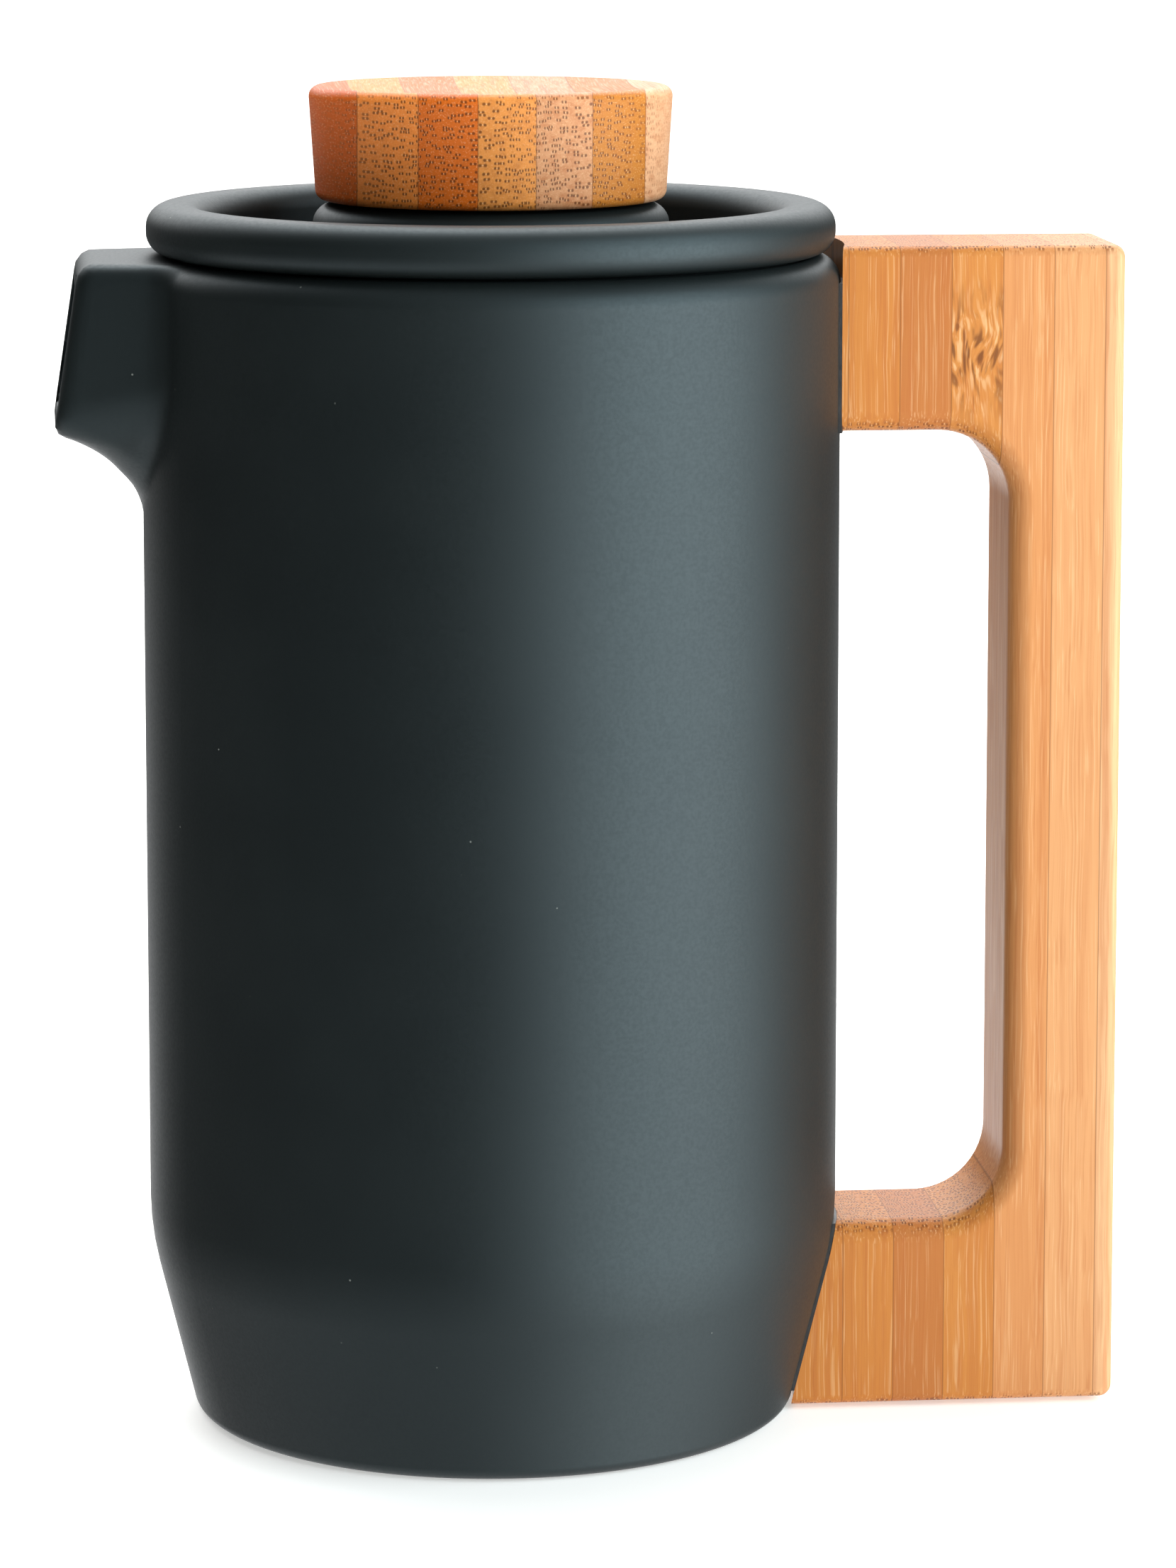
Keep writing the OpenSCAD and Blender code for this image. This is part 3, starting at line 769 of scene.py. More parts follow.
def turned_brass():
    """Turned brass, a little dulled by handling: warm yellow with softer patches."""
    material, tree, shader = new_material("turned_brass")
    if not tree:
        return material
    patch = 5
    dull = add(tree, "TexNoise", {"Vector": in_mm(tree), "Scale": 1 / patch, "Detail": 3.0})
    dulled = add(tree, "MapRange", {
        0: dull.outputs[0], 1: 0.4, 2: 0.8, 3: 0, 4: 0.5,
    }, interpolation_type="SMOOTHSTEP")
    set_shader(
        tree,
        shader,
        Base_Color=add(tree, "Mix", {
            0: dulled, 6: bpy.context.scene.press.hardware.brass, 7: linear("#8f6d35"),
        }, data_type="RGBA").outputs[2],
        Metallic=1.0,
        Roughness=add(tree, "MapRange", {
            0: dull.outputs[0], 1: 0.3, 2: 0.7, 3: 0.22, 4: 0.42,
        }, interpolation_type="SMOOTHSTEP"),
    )
    return material


def moulded_silicone():
    """Moulded silicone rubber: dull black with a faint bloom of dust."""
    material, tree, shader = new_material("moulded_silicone")
    if not tree:
        return material
    bloom = add(tree, "TexNoise", {"Vector": in_mm(tree), "Scale": 0.4, "Detail": 4.0})
    shade = add(tree, "Mix", {
        0: add(tree, "MapRange", {0: bloom.outputs[0], 1: 0.4, 2: 0.8}, interpolation_type="SMOOTHSTEP"),
        6: linear("#161717"),
        7: linear("#232424"),
    }, data_type="RGBA").outputs[2]
    set_shader(
        tree,
        shader,
        Base_Color=shade,
        Roughness=add(tree, "MapRange", {
            0: bloom.outputs[0], 1: 0.3, 2: 0.7, 3: 0.6, 4: 0.75,
        }, interpolation_type="SMOOTHSTEP"),
        IOR=1.41,
    )
    return material


def cured_adhesive():
    """Black epoxy adhesive, squeezed out and wiped: slightly glossy with shallow ripples."""
    material, tree, shader = new_material("cured_epoxy")
    if not tree:
        return material
    ripple = add(tree, "TexNoise", {"Vector": in_mm(tree), "Scale": 0.8, "Detail": 2.0})
    bump = add(tree, "Bump", {"Height": ripple.outputs[0], "Strength": 0.5, "Distance": 0.1 * MM})
    set_shader(
        tree,
        shader,
        Base_Color=add(tree, "Mix", {
            0: ripple.outputs[0], 6: linear("#0e0e0e"), 7: linear("#191817"),
        }, data_type="RGBA").outputs[2],
        Roughness=0.38,
        Normal=bump.outputs[0],
    )
    return material


# ---------------------------------------------------------------------------
# Jug
# ---------------------------------------------------------------------------

def round_off(a, b, radius):
    """Distance to what two solids share, with the edge between them rounded to a radius."""
    inner = np.minimum(-radius, np.maximum(a, b))
    return inner + np.hypot(np.maximum(a + radius, 0), np.maximum(b + radius, 0))


def fill_in(a, b, radius):
    """Distance to two solids joined, with the corner between them filled to a radius."""
    outer = np.maximum(radius, np.minimum(a, b))
    return outer - np.hypot(np.maximum(radius - a, 0), np.maximum(radius - b, 0))


def slope_plane(x, z, first, second):
    """Distance from a slanted plane through two (x, z) points, positive on the left of the way between them."""
    along = np.array(second, float) - np.array(first, float)
    along /= np.hypot(*along)
    return along[0] * (z - first[1]) - along[1] * (x - first[0])


def spout_sizes(looks):
    """Height of the lip, reach of the spout's top edge and half the width of the lip."""
    return RIM_Z - looks.lip_drop / MM, WALL_R + looks.spout_top / MM, looks.lip_half / MM


def jug_skin(place, looks):
    """Distance of points, in millimetres, from the jug's outer skin around the spout."""
    reach = -place[:, 0]
    side = np.abs(place[:, 1])
    z = place[:, 2]
    lip_z, top_x, lip_half = spout_sizes(looks)
    root_x, keel_half, keel_rise = WALL_R - 4, 5, 3.3
    sweep_round, keel_round, side_round, crown_round = 6, 4, 3.2, 2.4
    crown_angle, crown_fade = 17, 6  # half the angle over which the rim keeps the crown's round, in degrees
    sides = -slope_plane(reach, side, (LIP_X, lip_half), (root_x, SPOUT_HALF))
    front = -slope_plane(reach, z, (LIP_X, lip_z), (top_x, RIM_Z))
    sweep = -slope_plane(reach, z, (WALL_R, KEEL_Z), (LIP_X - LIP_FLAT, lip_z))
    under = fill_in(sweep, lip_z - z, sweep_round)
    keel = -slope_plane(side, z, (keel_half, KEEL_Z), (SPOUT_HALF, lip_z + keel_rise))
    below = round_off(under, keel, keel_round)
    hood = round_off(round_off(sides, below, side_round), front, looks.spout_edge / MM)
    around = np.hypot(place[:, 0], place[:, 1])
    joined = fill_in(around - WALL_R, hood, looks.spout_blend / MM)
    off_spout = np.clip((np.degrees(np.arctan2(side, reach)) - crown_angle) / crown_fade, 0, 1)
    rounding = crown_round + (looks.shoulder / MM - crown_round) * off_spout
    return round_off(joined, z - RIM_Z, rounding)


def pull_to_skin(place, looks):
    """Points moved straight onto the jug's outer skin."""
    nudge, least_slope = 0.01, 0.25
    value = jug_skin(place, looks)
    slope = np.stack([(jug_skin(place + nudge * step, looks) - value) / nudge for step in np.eye(3)], axis=1)
    return place - value[:, None] * slope / np.maximum((slope ** 2).sum(1), least_slope)[:, None]


def draw_out_spout(piece, looks, low_z, spread):
    """Draws the spout out of the wall's fine grid: a rough pull, then rounds of evening out and settling."""
    mesh = piece.data
    place = np.empty(len(mesh.vertices) * 3)
    mesh.vertices.foreach_get("co", place)
    place = place.reshape(-1, 3) / MM
    ends = np.empty(len(mesh.edges) * 2, int)
    mesh.edges.foreach_get("vertices", ends)
    ends = ends.reshape(-1, 2)
    around = np.hypot(place[:, 0], place[:, 1])
    turn = np.abs(np.degrees(np.arctan2(place[:, 1], -place[:, 0])))
    shoulder = looks.shoulder / MM
    shoulder_r, shoulder_z = WALL_R - shoulder, RIM_Z - shoulder
    margin = 0.2  # points this near the grid's border stay where they are
    free = (turn < spread - margin) & (around > shoulder_r + 0.3) & (place[:, 2] > low_z + margin)

    # how far each point is along the plain wall, and the same share along the spout's own profile
    straight = shoulder_z - low_z
    corner = math.pi / 2 * shoulder
    lean = np.arctan2(place[:, 2] - shoulder_z, around - shoulder_r)
    share = np.where(lean < 0, place[:, 2] - low_z, straight + lean * shoulder) / (straight + corner)
    lip_z, top_x, lip_half = spout_sizes(looks)
    profile = np.array([(WALL_R, low_z), (WALL_R, KEEL_Z), (LIP_X - LIP_FLAT, lip_z), (LIP_X, lip_z),
                        (top_x, RIM_Z), (shoulder_r, RIM_Z)])
    steps = np.r_[0, np.cumsum(np.hypot(*np.diff(profile, axis=0).T))]
    pulled_r = np.interp(share, steps / steps[-1], profile[:, 0])
    pulled_z = np.interp(share, steps / steps[-1], profile[:, 1])
    inner_edge = math.degrees(math.atan2(lip_half, LIP_X))
    outer_edge = math.degrees(math.asin(SPOUT_HALF / WALL_R)) + 1
    weight = np.clip((outer_edge - turn) / (outer_edge - inner_edge), 0, 1)
    flat_front = np.cos(np.radians(np.minimum(turn, inner_edge)))
    new_r = around + weight * (pulled_r / flat_front - around)
    scale = np.where(free, new_r / np.maximum(around, CLOSE), 1)
    place[:, :2] *= scale[:, None]
    place[:, 2] = np.where(free, place[:, 2] + weight * (pulled_z - place[:, 2]), place[:, 2])

    touching = free[ends].any(1)
    ends = ends[touching]
    count = np.bincount(ends.ravel(), minlength=len(place))
    evenings, settlings = 90, 6
    for _ in range(evenings):
        total = np.zeros_like(place)
        np.add.at(total, ends[:, 0], place[ends[:, 1]])
        np.add.at(total, ends[:, 1], place[ends[:, 0]])
        place[free] += (total[free] / count[free, None] - place[free]) / 2
        place[free] = pull_to_skin(place[free], looks)
    for _ in range(settlings):
        place[free] = pull_to_skin(place[free], looks)
    mesh.vertices.foreach_set("co", (place * MM).ravel())
    mesh.update()


def passage_cutter(looks):
    """The spout's passage as a solid: a rounded slot at the mouth that grows towards the bore."""
    lip_z, _, lip_half = spout_sizes(looks)
    floor_z, top, half = lip_z + LIP_T, RIM_Z - SPOUT_WALL, lip_half - SPOUT_WALL
    outside, mouth, inside = 3, 8, 20  # start in front of the lip, straight stretch, then the growing one
    wider, deeper = 1.12, 1.3
    floor_round, top_round = 4.5, 2.2
    cutter = closed_wire("passage", outline([
        (-half, floor_z, floor_round), (half, floor_z, floor_round), (half, top, top_round),
        (-half, top, top_round),
    ]))
    bpy.ops.transform.rotate(value=math.pi / 2, orient_axis="Z", center_override=(0, 0, 0))
    bpy.ops.transform.translate(value=(-(LIP_X + outside) * MM, 0, 0))
    bpy.ops.mesh.edge_face_add()
    push(mouth, 0, 0)
    push(inside, 0, 0)
    bpy.ops.transform.resize(value=(1, wider, deeper), center_override=(0, 0, top * MM))
    return close_shell(cutter)


def jug_profile(looks, gap=0.0):
    """Radius where the foot taper starts, its lean and the height of the bend, with the wall grown by a gap."""
    taper_h = looks.taper_h / MM
    return WALL_R - taper_h * math.tan(looks.taper_lean) + gap, looks.taper_lean, taper_h


def build_jug(looks):
    """The jug and its spout in one skin: turned in sectors with a fine grid where the spout is drawn out."""
    wall, floor, shoulder = looks.wall / MM, looks.floor / MM, looks.shoulder / MM
    bend = looks.taper_bend / MM
    foot_r, lean, taper_h = jug_profile(looks)
    bore_r = WALL_R - wall
    inner_h = taper_h + wall * math.tan(lean / 2)
    floor_r = bore_r - (inner_h - floor) * math.tan(lean)
    foot_round, foot_ring, hollow = 2.5, 8, 1.2
    hollow_r = foot_r - foot_round - foot_ring
    spout_low = KEEL_Z - 6
    profile = outline([
        (0, hollow, 0), (hollow_r, hollow, 0.6), (hollow_r + hollow, 0, 0.6), (foot_r, 0, foot_round),
        (WALL_R, taper_h, bend), (WALL_R, spout_low, 0), (WALL_R, RIM_Z, shoulder), (bore_r, RIM_Z, 1.4),
        (bore_r, inner_h, bend - wall), (floor_r, floor, 6), (0, floor, 0),
    ], closed=False, turn=5)
    grid = 0.85
    profile = divided(profile, grid, lambda p: p.x > WALL_R - shoulder and p.y >= spout_low - CLOSE)
    piece = draw_wire("jug", profile)
    bpy.ops.mesh.select_all(action="SELECT")
    spread, plain_steps, spout_steps = 25, 62, 76
    for turn, steps in ((180 - spread, plain_steps), (2 * spread, spout_steps), (180 - spread, plain_steps)):
        spin(math.radians(turn), steps)
    close_shell(piece)
    draw_out_spout(piece, looks, spout_low, spread)
    cut_passage(piece, looks)
    return piece


def cut_passage(piece, looks):
    """Cuts the spout's passage through to the bore, and softens the rim of its mouth."""
    lip_z, top_x, lip_half = spout_sizes(looks)
    lean = Vector((lip_z - RIM_Z, 0, top_x - LIP_X)).normalized()
    near, mouth_round = 0.05, 0.7
    half, top, floor_z = lip_half - SPOUT_WALL + near, RIM_Z - SPOUT_WALL + near, lip_z + LIP_T - near

    def in_front(point):
        share = (point.z - lip_z) / (RIM_Z - lip_z)
        return abs(-point.x - (LIP_X + (top_x - LIP_X) * share)) < near

    def on_mouth(point):
        return in_front(point) and abs(point.y) < half and floor_z < point.z < top

    make_active(piece)
    bpy.ops.object.mode_set(mode="EDIT")
    select_faces(piece, lambda centre, normal: in_front(centre) and normal.dot(lean) > 0.9995)
    bpy.ops.mesh.dissolve_limited(angle_limit=math.radians(1))
    bpy.ops.object.mode_set(mode="OBJECT")
    cut(piece, passage_cutter(looks))
    make_active(piece)
    bpy.ops.object.mode_set(mode="EDIT")
    select_edges(piece, lambda a, b: on_mouth(a) and on_mouth(b))
    bpy.ops.mesh.bevel(offset=mouth_round * MM, segments=3, affect="EDGES")
    bpy.ops.mesh.select_all(action="DESELECT")
    bpy.ops.object.mode_set(mode="OBJECT")


# ---------------------------------------------------------------------------
# Handle and knob
# ---------------------------------------------------------------------------

def build_handle(looks):
    """The handle as it is cut from a laminated block: an outline, two radii of rounding, and ends scribed to
    the jug's wall with room for the adhesive."""
    gap_x = HANDLE_X - looks.grip / MM
    gap_top = HANDLE_TOP - looks.upper_arm / MM
    gap_low = HANDLE_FOOT + looks.lower_arm / MM
    round_in, round_out = looks.gap_corner / MM, 2
    upper_x, lower_x = WALL_R - 8, WALL_R - 14
    piece = slab("handle_grip", outline([
        (upper_x, HANDLE_TOP, 0), (HANDLE_X, HANDLE_TOP, round_out), (HANDLE_X, HANDLE_FOOT, round_out),
        (lower_x, HANDLE_FOOT, 0), (lower_x, gap_low, 0), (gap_x, gap_low, round_in),
        (gap_x, gap_top, round_in), (upper_x, gap_top, 0),
    ], turn=7), -HANDLE_Y, HANDLE_Y)

    def on_face(a, b):
        return abs(a.y - b.y) < CLOSE and max(a.x, b.x) >= upper_x + CLOSE

    def inside(point):
        return point.x < gap_x + CLOSE and gap_low - CLOSE < point.z < gap_top + CLOSE

    def outside(point):
        reach = round_out + 0.1
        return point.x > HANDLE_X - reach or point.z > HANDLE_TOP - reach or point.z < HANDLE_FOOT + reach

    select_edges(piece, lambda a, b: on_face(a, b) and inside(a) and inside(b))
    bpy.ops.mesh.bevel(offset=looks.gap_edge, segments=6, affect="EDGES")
    select_edges(piece, lambda a, b: (
        abs(abs(a.y) - HANDLE_Y) < CLOSE and on_face(a, b) and outside(a) and outside(b)))
    bpy.ops.mesh.bevel(offset=looks.outer_edge, segments=4, affect="EDGES")
    close_shell(piece)
    stone = bpy.context.scene.press.stoneware
    glue, past = 0.5, 3
    foot_r, lean, taper_h = jug_profile(stone, glue)
    top, wall_r = HANDLE_TOP + past, WALL_R + glue
    cutter = draw_wire("envelope", outline([
        (0, -past, 0), (foot_r - past * math.tan(lean), -past, 0), (wall_r, taper_h, stone.taper_bend / MM),
        (wall_r, top, 0), (0, top, 0),
    ], closed=False, turn=2))
    bpy.ops.mesh.select_all(action="SELECT")
    spin(2 * math.pi, 256)
    cut(piece, close_shell(cutter))
    return smooth(piece)


def build_knob(looks):
    """The turned knob, with its dished top and the socket for the insert underneath."""
    edge, taper, under_r, insert_r = 2.5, 1.1, 11, 4.5
    dish = looks.dish / MM
    dish_r = KNOB_R - edge
    insert_top, hollow = high("knob_insert", "z") + 0.5, low("knob_insert", "z")
    sphere = (dish_r ** 2 + dish ** 2) / (2 * dish)
    rings = 14
    bowl = []
    for k in range(rings + 1):
        r = dish_r * (1 - k / rings)
        bowl.append((r, KNOB_TOP - dish + sphere - math.sqrt(sphere ** 2 - r ** 2), 0.8 if k == 0 else 0))
    return turned("knob_grip", [
        (0, insert_top, 0), (insert_r, insert_top, 0), (insert_r, hollow, 0.3), (under_r, hollow, 0.5),
        (under_r, KNOB_Z, 0.6), (KNOB_R - taper, KNOB_Z, 1.5), (KNOB_R, KNOB_TOP, 1.6), *bowl,
    ], closed=False, turn=12)


# ---------------------------------------------------------------------------
# Lid and plunger
# ---------------------------------------------------------------------------

def build_lid():
    """The turned lid: rolled ring, deep recess, domed boss and a skirt that goes into the bore."""
    ring_w, recess, plate, hole_r, boss_r = 9.2, 10.8, 4.5, 5.3, 27
    foot, top, ring_r = span("lid")
    ring_z = RIM_Z + 0.3
    recess_r, recess_z = ring_r - ring_w, top - recess
    skirt_r = WALL_R - bpy.context.scene.press.stoneware.wall / MM - SKIRT_PLAY
    under_r, under_z = recess_r - 1, recess_z - plate
    return turned("lid_cover", [
        (hole_r, top, 0.4), (boss_r, top, 3.2), (boss_r, recess_z, 3), (recess_r, recess_z, 3),
        (recess_r, top, 3.4), (ring_r, top, 3.45), (ring_r, ring_z, 3.2), (skirt_r, ring_z, 0.6),
        (skirt_r, foot, 1.2), (under_r, foot, 1.2), (under_r, under_z, 2), (boss_r - plate, under_z, 2),
        (boss_r - plate, top - plate, 3), (hole_r, top - plate, 0.4),
    ], turn=10)


def threads(radius, start, end, pitch, depth):
    """Corners of a run of thread ridges along a turned wall, from one height to another."""
    turns = int(abs(end - start) / pitch)
    way = math.copysign(pitch, end - start)
    corners = []
    for k in range(turns):
        corners += [(radius, start + k * way, 0), (radius - depth, start + (k + 0.5) * way, 0)]
    return corners


def build_guide():
    """The flanged guide in the lid's centre, threaded below for its nut."""
    flange, bore, start = 1.2, ROD_R + 0.1, 0.4
    foot, top, flange_r = span("rod_guide")
    seat = high("guide_seal_bottom", "z")
    return turned("lid_guide", [
        (bore, top, 0.3), (flange_r, top, 0.5), (flange_r, top - flange, 0.3), (GUIDE_R, top - flange, 0),
        *threads(GUIDE_R, seat, foot + start, THREAD, 0.35), (GUIDE_R - start, foot, 0), (bore, foot, 0.2),
    ])


def build_ring(name, node, hole_r, edge):
    """A plain ring with eased edges, in the place of a CAD ring."""
    foot, top, outer = span(node)
    return turned(name, [
        (hole_r, top, edge), (outer, top, edge), (outer, foot, edge), (hole_r, foot, edge),
    ], turn=30)


def build_guide_nut():
    """A hexagon nut with turned chamfers top and bottom."""
    foot, top, flats, past = low("guide_nut", "z"), high("guide_nut", "z"), 15, 1
    piece = upright_cylinder("lid_guide_nut", 6, flats / 2 / math.cos(math.radians(30)), foot, top)
    bpy.ops.object.mode_set(mode="EDIT")
    select_edges(piece, lambda a, b: abs(a.z - b.z) < CLOSE)
    bpy.ops.mesh.bevel(offset=0.5 * MM, segments=2, affect="EDGES")
    bpy.ops.object.mode_set(mode="OBJECT")
    cut(piece, turned("nut_hole", [
        (0, foot - past, 0), (GUIDE_R, foot - past, 0), (GUIDE_R, top + past, 0), (0, top + past, 0),
    ], closed=False))
    return smooth(piece, 25)


def build_rod():
    """The plunger rod, threaded at both ends."""
    foot, top = low("plunger_rod", "z"), high("plunger_rod", "z")
    point, runout, thread_low, thread_up, depth = 0.5, 0.4, 6, 8, 0.3
    return turned("plunger_shaft", [
        (0, foot, 0), (ROD_R - point, foot, 0), *threads(ROD_R, foot + point, foot + thread_low, THREAD, depth),
        (ROD_R, foot + thread_low + runout, 0), (ROD_R, top - thread_up, 0),
        *threads(ROD_R, top - thread_up + runout, top - 0.6, THREAD, depth), (ROD_R - point, top, 0),
        (0, top, 0),
    ], closed=False, steps=64)


def build_insert():
    """The brass insert, with two bands of fine rings and a groove that locks it in the bamboo."""
    foot, top, outer = span("knob_insert")
    middle, groove, ease, pitch, depth = (foot + top) / 2, 0.7, 0.3, 0.6, 0.2
    return turned("knob_socket", [
        (ROD_R, top, 0.2), (outer - ease, top, 0), *threads(outer, top - ease, middle + groove, pitch, depth),
        (outer - groove, middle + ease, 0), (outer - groove, middle - ease, 0),
        *threads(outer, middle - groove, foot + ease, pitch, depth), (outer - ease, foot, 0),
        (ROD_R, foot, 0.2),
    ], steps=96)


def build_cross_nut():
    """The threaded nut riveted into the cross plate."""
    foot, top, outer = span("cross_plate_nut")
    bore, seat = ROD_R + 0.1, top - SHEET
    return turned("filter_nut", [
        (bore, foot, 0.2), (outer, foot, 1), (outer, seat, 0.2), (SPIGOT_R, seat, 0), (SPIGOT_R, top, 0.2),
        (bore, top, 0),
    ])


def upright_holes(name, places, radius, foot, top):
    """Cutters for round holes at (x, y) places, made once and copied, then joined in one solid."""
    first = upright_cylinder(name, 32, radius, foot, top)
    cutters = [first] + [own_copy(first) for place in places[1:]]
    deselect()
    for cutter, (x, y) in zip(cutters, places):
        cutter.location = (x * MM, y * MM, 0)
        cutter.select_set(True)
    bpy.context.view_layer.objects.active = first
    bpy.ops.object.join()
    bpy.ops.object.transform_apply(location=True)
    return first


def build_spiral_plate():
    """The upper plate: pressed sheet with a turned-up wall that carries the spring, and two rings of holes."""
    foot, top, ring_r = span("spiral_plate")
    wall_r, rod_hole, hole_r, past = 42.8, ROD_R + 0.4, 2.5, 1
    lip_z, floor_z, inner_r = top - SHEET, foot + SHEET, wall_r - SHEET
    piece = turned("spring_plate", [
        (rod_hole, foot, 0.1), (wall_r, foot, 0.7), (wall_r, lip_z, 0.3), (ring_r, lip_z, 0.2),
        (ring_r, top, 0.3), (inner_r, top, 0.7), (inner_r, floor_z, 0.5), (rod_hole, floor_z, 0.1),
    ], turn=15)
    places = []
    for count, ring in ((8, wall_r / 3), (16, wall_r * 3 / 4)):
        for k in range(count):
            turn = (k + 0.5) * 2 * math.pi / count
            places.append((ring * math.cos(turn), ring * math.sin(turn)))
    cut(piece, upright_holes("plate_holes", places, hole_r, foot - past, floor_z + past))
    return smooth(piece)


def window_cutter(outer, foot, top):
    """A quarter window of the cross plate as a solid: a rounded opening between two arms and the hub."""
    arm, hub, steps = 8, 11, 12
    rim_round, hub_round = 3, 2
    start = math.asin(arm / 2 / outer)
    near = math.sqrt(hub ** 2 - arm ** 2 / 4)
    corners = []
    for k in range(steps + 1):
        turn = start + (math.pi / 2 - 2 * start) * k / steps
        corners.append((outer * math.cos(turn), outer * math.sin(turn), rim_round if k in (0, steps) else 0))
    corners += [(arm / 2, near, hub_round), (near, arm / 2, hub_round)]
    cutter = closed_wire("windows", outline(corners, turn=20))
    bpy.ops.mesh.edge_face_add()
    bpy.ops.transform.rotate(value=-math.pi / 2, orient_axis="X", center_override=(0, 0, 0))
    bpy.ops.transform.translate(value=(0, 0, foot * MM))
    push(0, 0, top - foot)
    return close_shell(cutter)


def build_cross_plate():
    """The lower plate: a pressed disc with a turned-down rim and four rounded windows between its arms."""
    foot, top, rim_r = span("cross_plate")
    rim_w, past = 6, 1
    under, inner_r = top - SHEET, rim_r - SHEET
    piece = turned("cross_disc", [
        (SPIGOT_R, top, 0.1), (rim_r, top, 1), (rim_r, foot, 0.2), (inner_r, foot, 0.2), (inner_r, under, 0.5),
        (SPIGOT_R, under, 0.1),
    ], turn=15)
    cutter = window_cutter(rim_r - rim_w, under - past, top + past)
    for quarter in range(1, 4):
        copy = own_copy(cutter)
        copy.data.transform(Matrix.Rotation(quarter * math.pi / 2, 4, "Z"))
        cut(piece, copy)
    cut(piece, cutter)
    return smooth(piece)


def build_mesh_disc():
    """The mesh disc, turned up round its edge between the spring and the bore."""
    foot, top, outer = span("mesh_filter")
    eye, inner, floor_z = 7, outer - CLOTH, foot + CLOTH
    return turned("mesh_disc", [
        (eye, foot, 0.1), (outer, foot, 1), (outer, top, 0.2), (inner, top, 0.2), (inner, floor_z, 0.6),
        (eye, floor_z, 0.1),
    ], turn=15)


def build_spring(looks):
    """The spring: one wire coiled into a long helix and closed into a ring."""
    foot, top, outer = span("spiral_spring")
    section_r = (top - foot) / 2
    ring_r, middle = outer - section_r, (top + foot) / 2
    wire_r = looks.wire / MM / 2
    coil_r = section_r - wire_r
    coils = round(2 * math.pi * ring_r / (looks.coil_pitch / MM))
    per_coil = 12
    curve = bpy.data.curves.new("coil", "CURVE")
    curve.dimensions = "3D"
    curve.bevel_depth = wire_r * MM
    curve.bevel_resolution = 1
    line = curve.splines.new("POLY")
    line.points.add(coils * per_coil - 1)
    for k, point in enumerate(line.points):
        along = 2 * math.pi * k / (coils * per_coil)
        turn = 2 * math.pi * k / per_coil
        r = ring_r + coil_r * math.cos(turn)
        z = middle + coil_r * math.sin(turn)
        point.co = (r * math.cos(along) * MM, r * math.sin(along) * MM, z * MM, 1)
    line.use_cyclic_u = True
    coil = bpy.data.objects.new("edge_spring", curve)
    bpy.context.scene.collection.objects.link(coil)
    make_active(coil)
    bpy.ops.object.convert(target="MESH")
    piece = bpy.context.object
    bpy.ops.object.shade_smooth()
    return piece


# ---------------------------------------------------------------------------
# Operators
# ---------------------------------------------------------------------------

class PRESS_OT_jug(bpy.types.Operator):
    """Make the stoneware jug with its spout"""
    bl_idname = "press.jug"
    bl_label = "Jug"

    def execute(self, context):
        piece = build_jug(context.scene.press.stoneware)
        smooth(piece)
        finish_piece(piece, "jug", "stoneware", matte_stoneware(), "jug_body", "spout")
        return {"FINISHED"}


class PRESS_OT_handle(bpy.types.Operator):
    """Make the bamboo handle, and finish the lugs and adhesive that hold it"""
    bl_idname = "press.handle"
    bl_label = "Handle"

    def execute(self, context):
        looks = context.scene.press.bamboo
        strip = looks.strip / MM
        tones = ("#c27a38", "#b66f37", "#c47e3c", "#cc8a54", "#d39764", "#d8a476")
        fibres_up, start, culm = (0, 0, 0), HANDLE_X - 5.4 * strip, (2, HANDLE_TOP - 16)
        wood = laminated_bamboo("laminated_bamboo_upright", fibres_up, strip, start, tones, 3.0, culm)
        finish_piece(build_handle(looks), "jug", "bamboo", wood, "handle")
        for arm in ("upper", "lower"):
            finish_node("adhesive_" + arm, cured_adhesive())
            finish_node("lug_" + arm, matte_stoneware())
        return {"FINISHED"}


class PRESS_OT_lid(bpy.types.Operator):
    """Make the stoneware lid"""
    bl_idname = "press.lid"
    bl_label = "Lid"

    def execute(self, context):
        finish_piece(build_lid(), "lid", "stoneware", matte_stoneware(), "lid")
        return {"FINISHED"}


class PRESS_OT_guide(bpy.types.Operator):
    """Make the steel guide in the lid, its nut and its two silicone seals"""
    bl_idname = "press.guide"
    bl_label = "Guide"

    def execute(self, context):
        steel, silicone = turned_steel(), moulded_silicone()
        finish_piece(build_guide(), "lid", "steel", steel, "rod_guide")
        finish_piece(build_guide_nut(), "lid", "steel", steel, "guide_nut")
        for side in ("top", "bottom"):
            node = "guide_seal_" + side
            finish_piece(build_ring("lid_seal_" + side, node, GUIDE_R, 0.25), "lid", "silicone", silicone, node)
        return {"FINISHED"}


class PRESS_OT_knob(bpy.types.Operator):
    """Make the bamboo knob with its brass insert and silicone bumper"""
    bl_idname = "press.knob"
    bl_label = "Knob"

    def execute(self, context):
        looks = context.scene.press.bamboo
        strip = 8.6
        # the last, palest tone is painted highlight: it colours the strip on the knob's +x side, which faces
        # the side light, paler than its own wood; the other tones are the strips' colours
        tones = ("#d45f09", "#ee8938", "#d86817", "#e18f44", "#cd9064", "#be7529", "#dca57c")
        fibres_across, start = (math.pi / 2, 0, 0), 4.6 - 4 * strip
        wood = laminated_bamboo("laminated_bamboo_crosswise", fibres_across, strip, start, tones, 11.0)
        finish_piece(build_knob(looks), "plunger", "bamboo", wood, "knob")
        finish_piece(build_insert(), "plunger", "brass", turned_brass(), "knob_insert")
        bumper = build_ring("knob_stop", "knob_bumper", ROD_R, 0.35)
        finish_piece(bumper, "plunger", "silicone", moulded_silicone(), "knob_bumper")
        return {"FINISHED"}


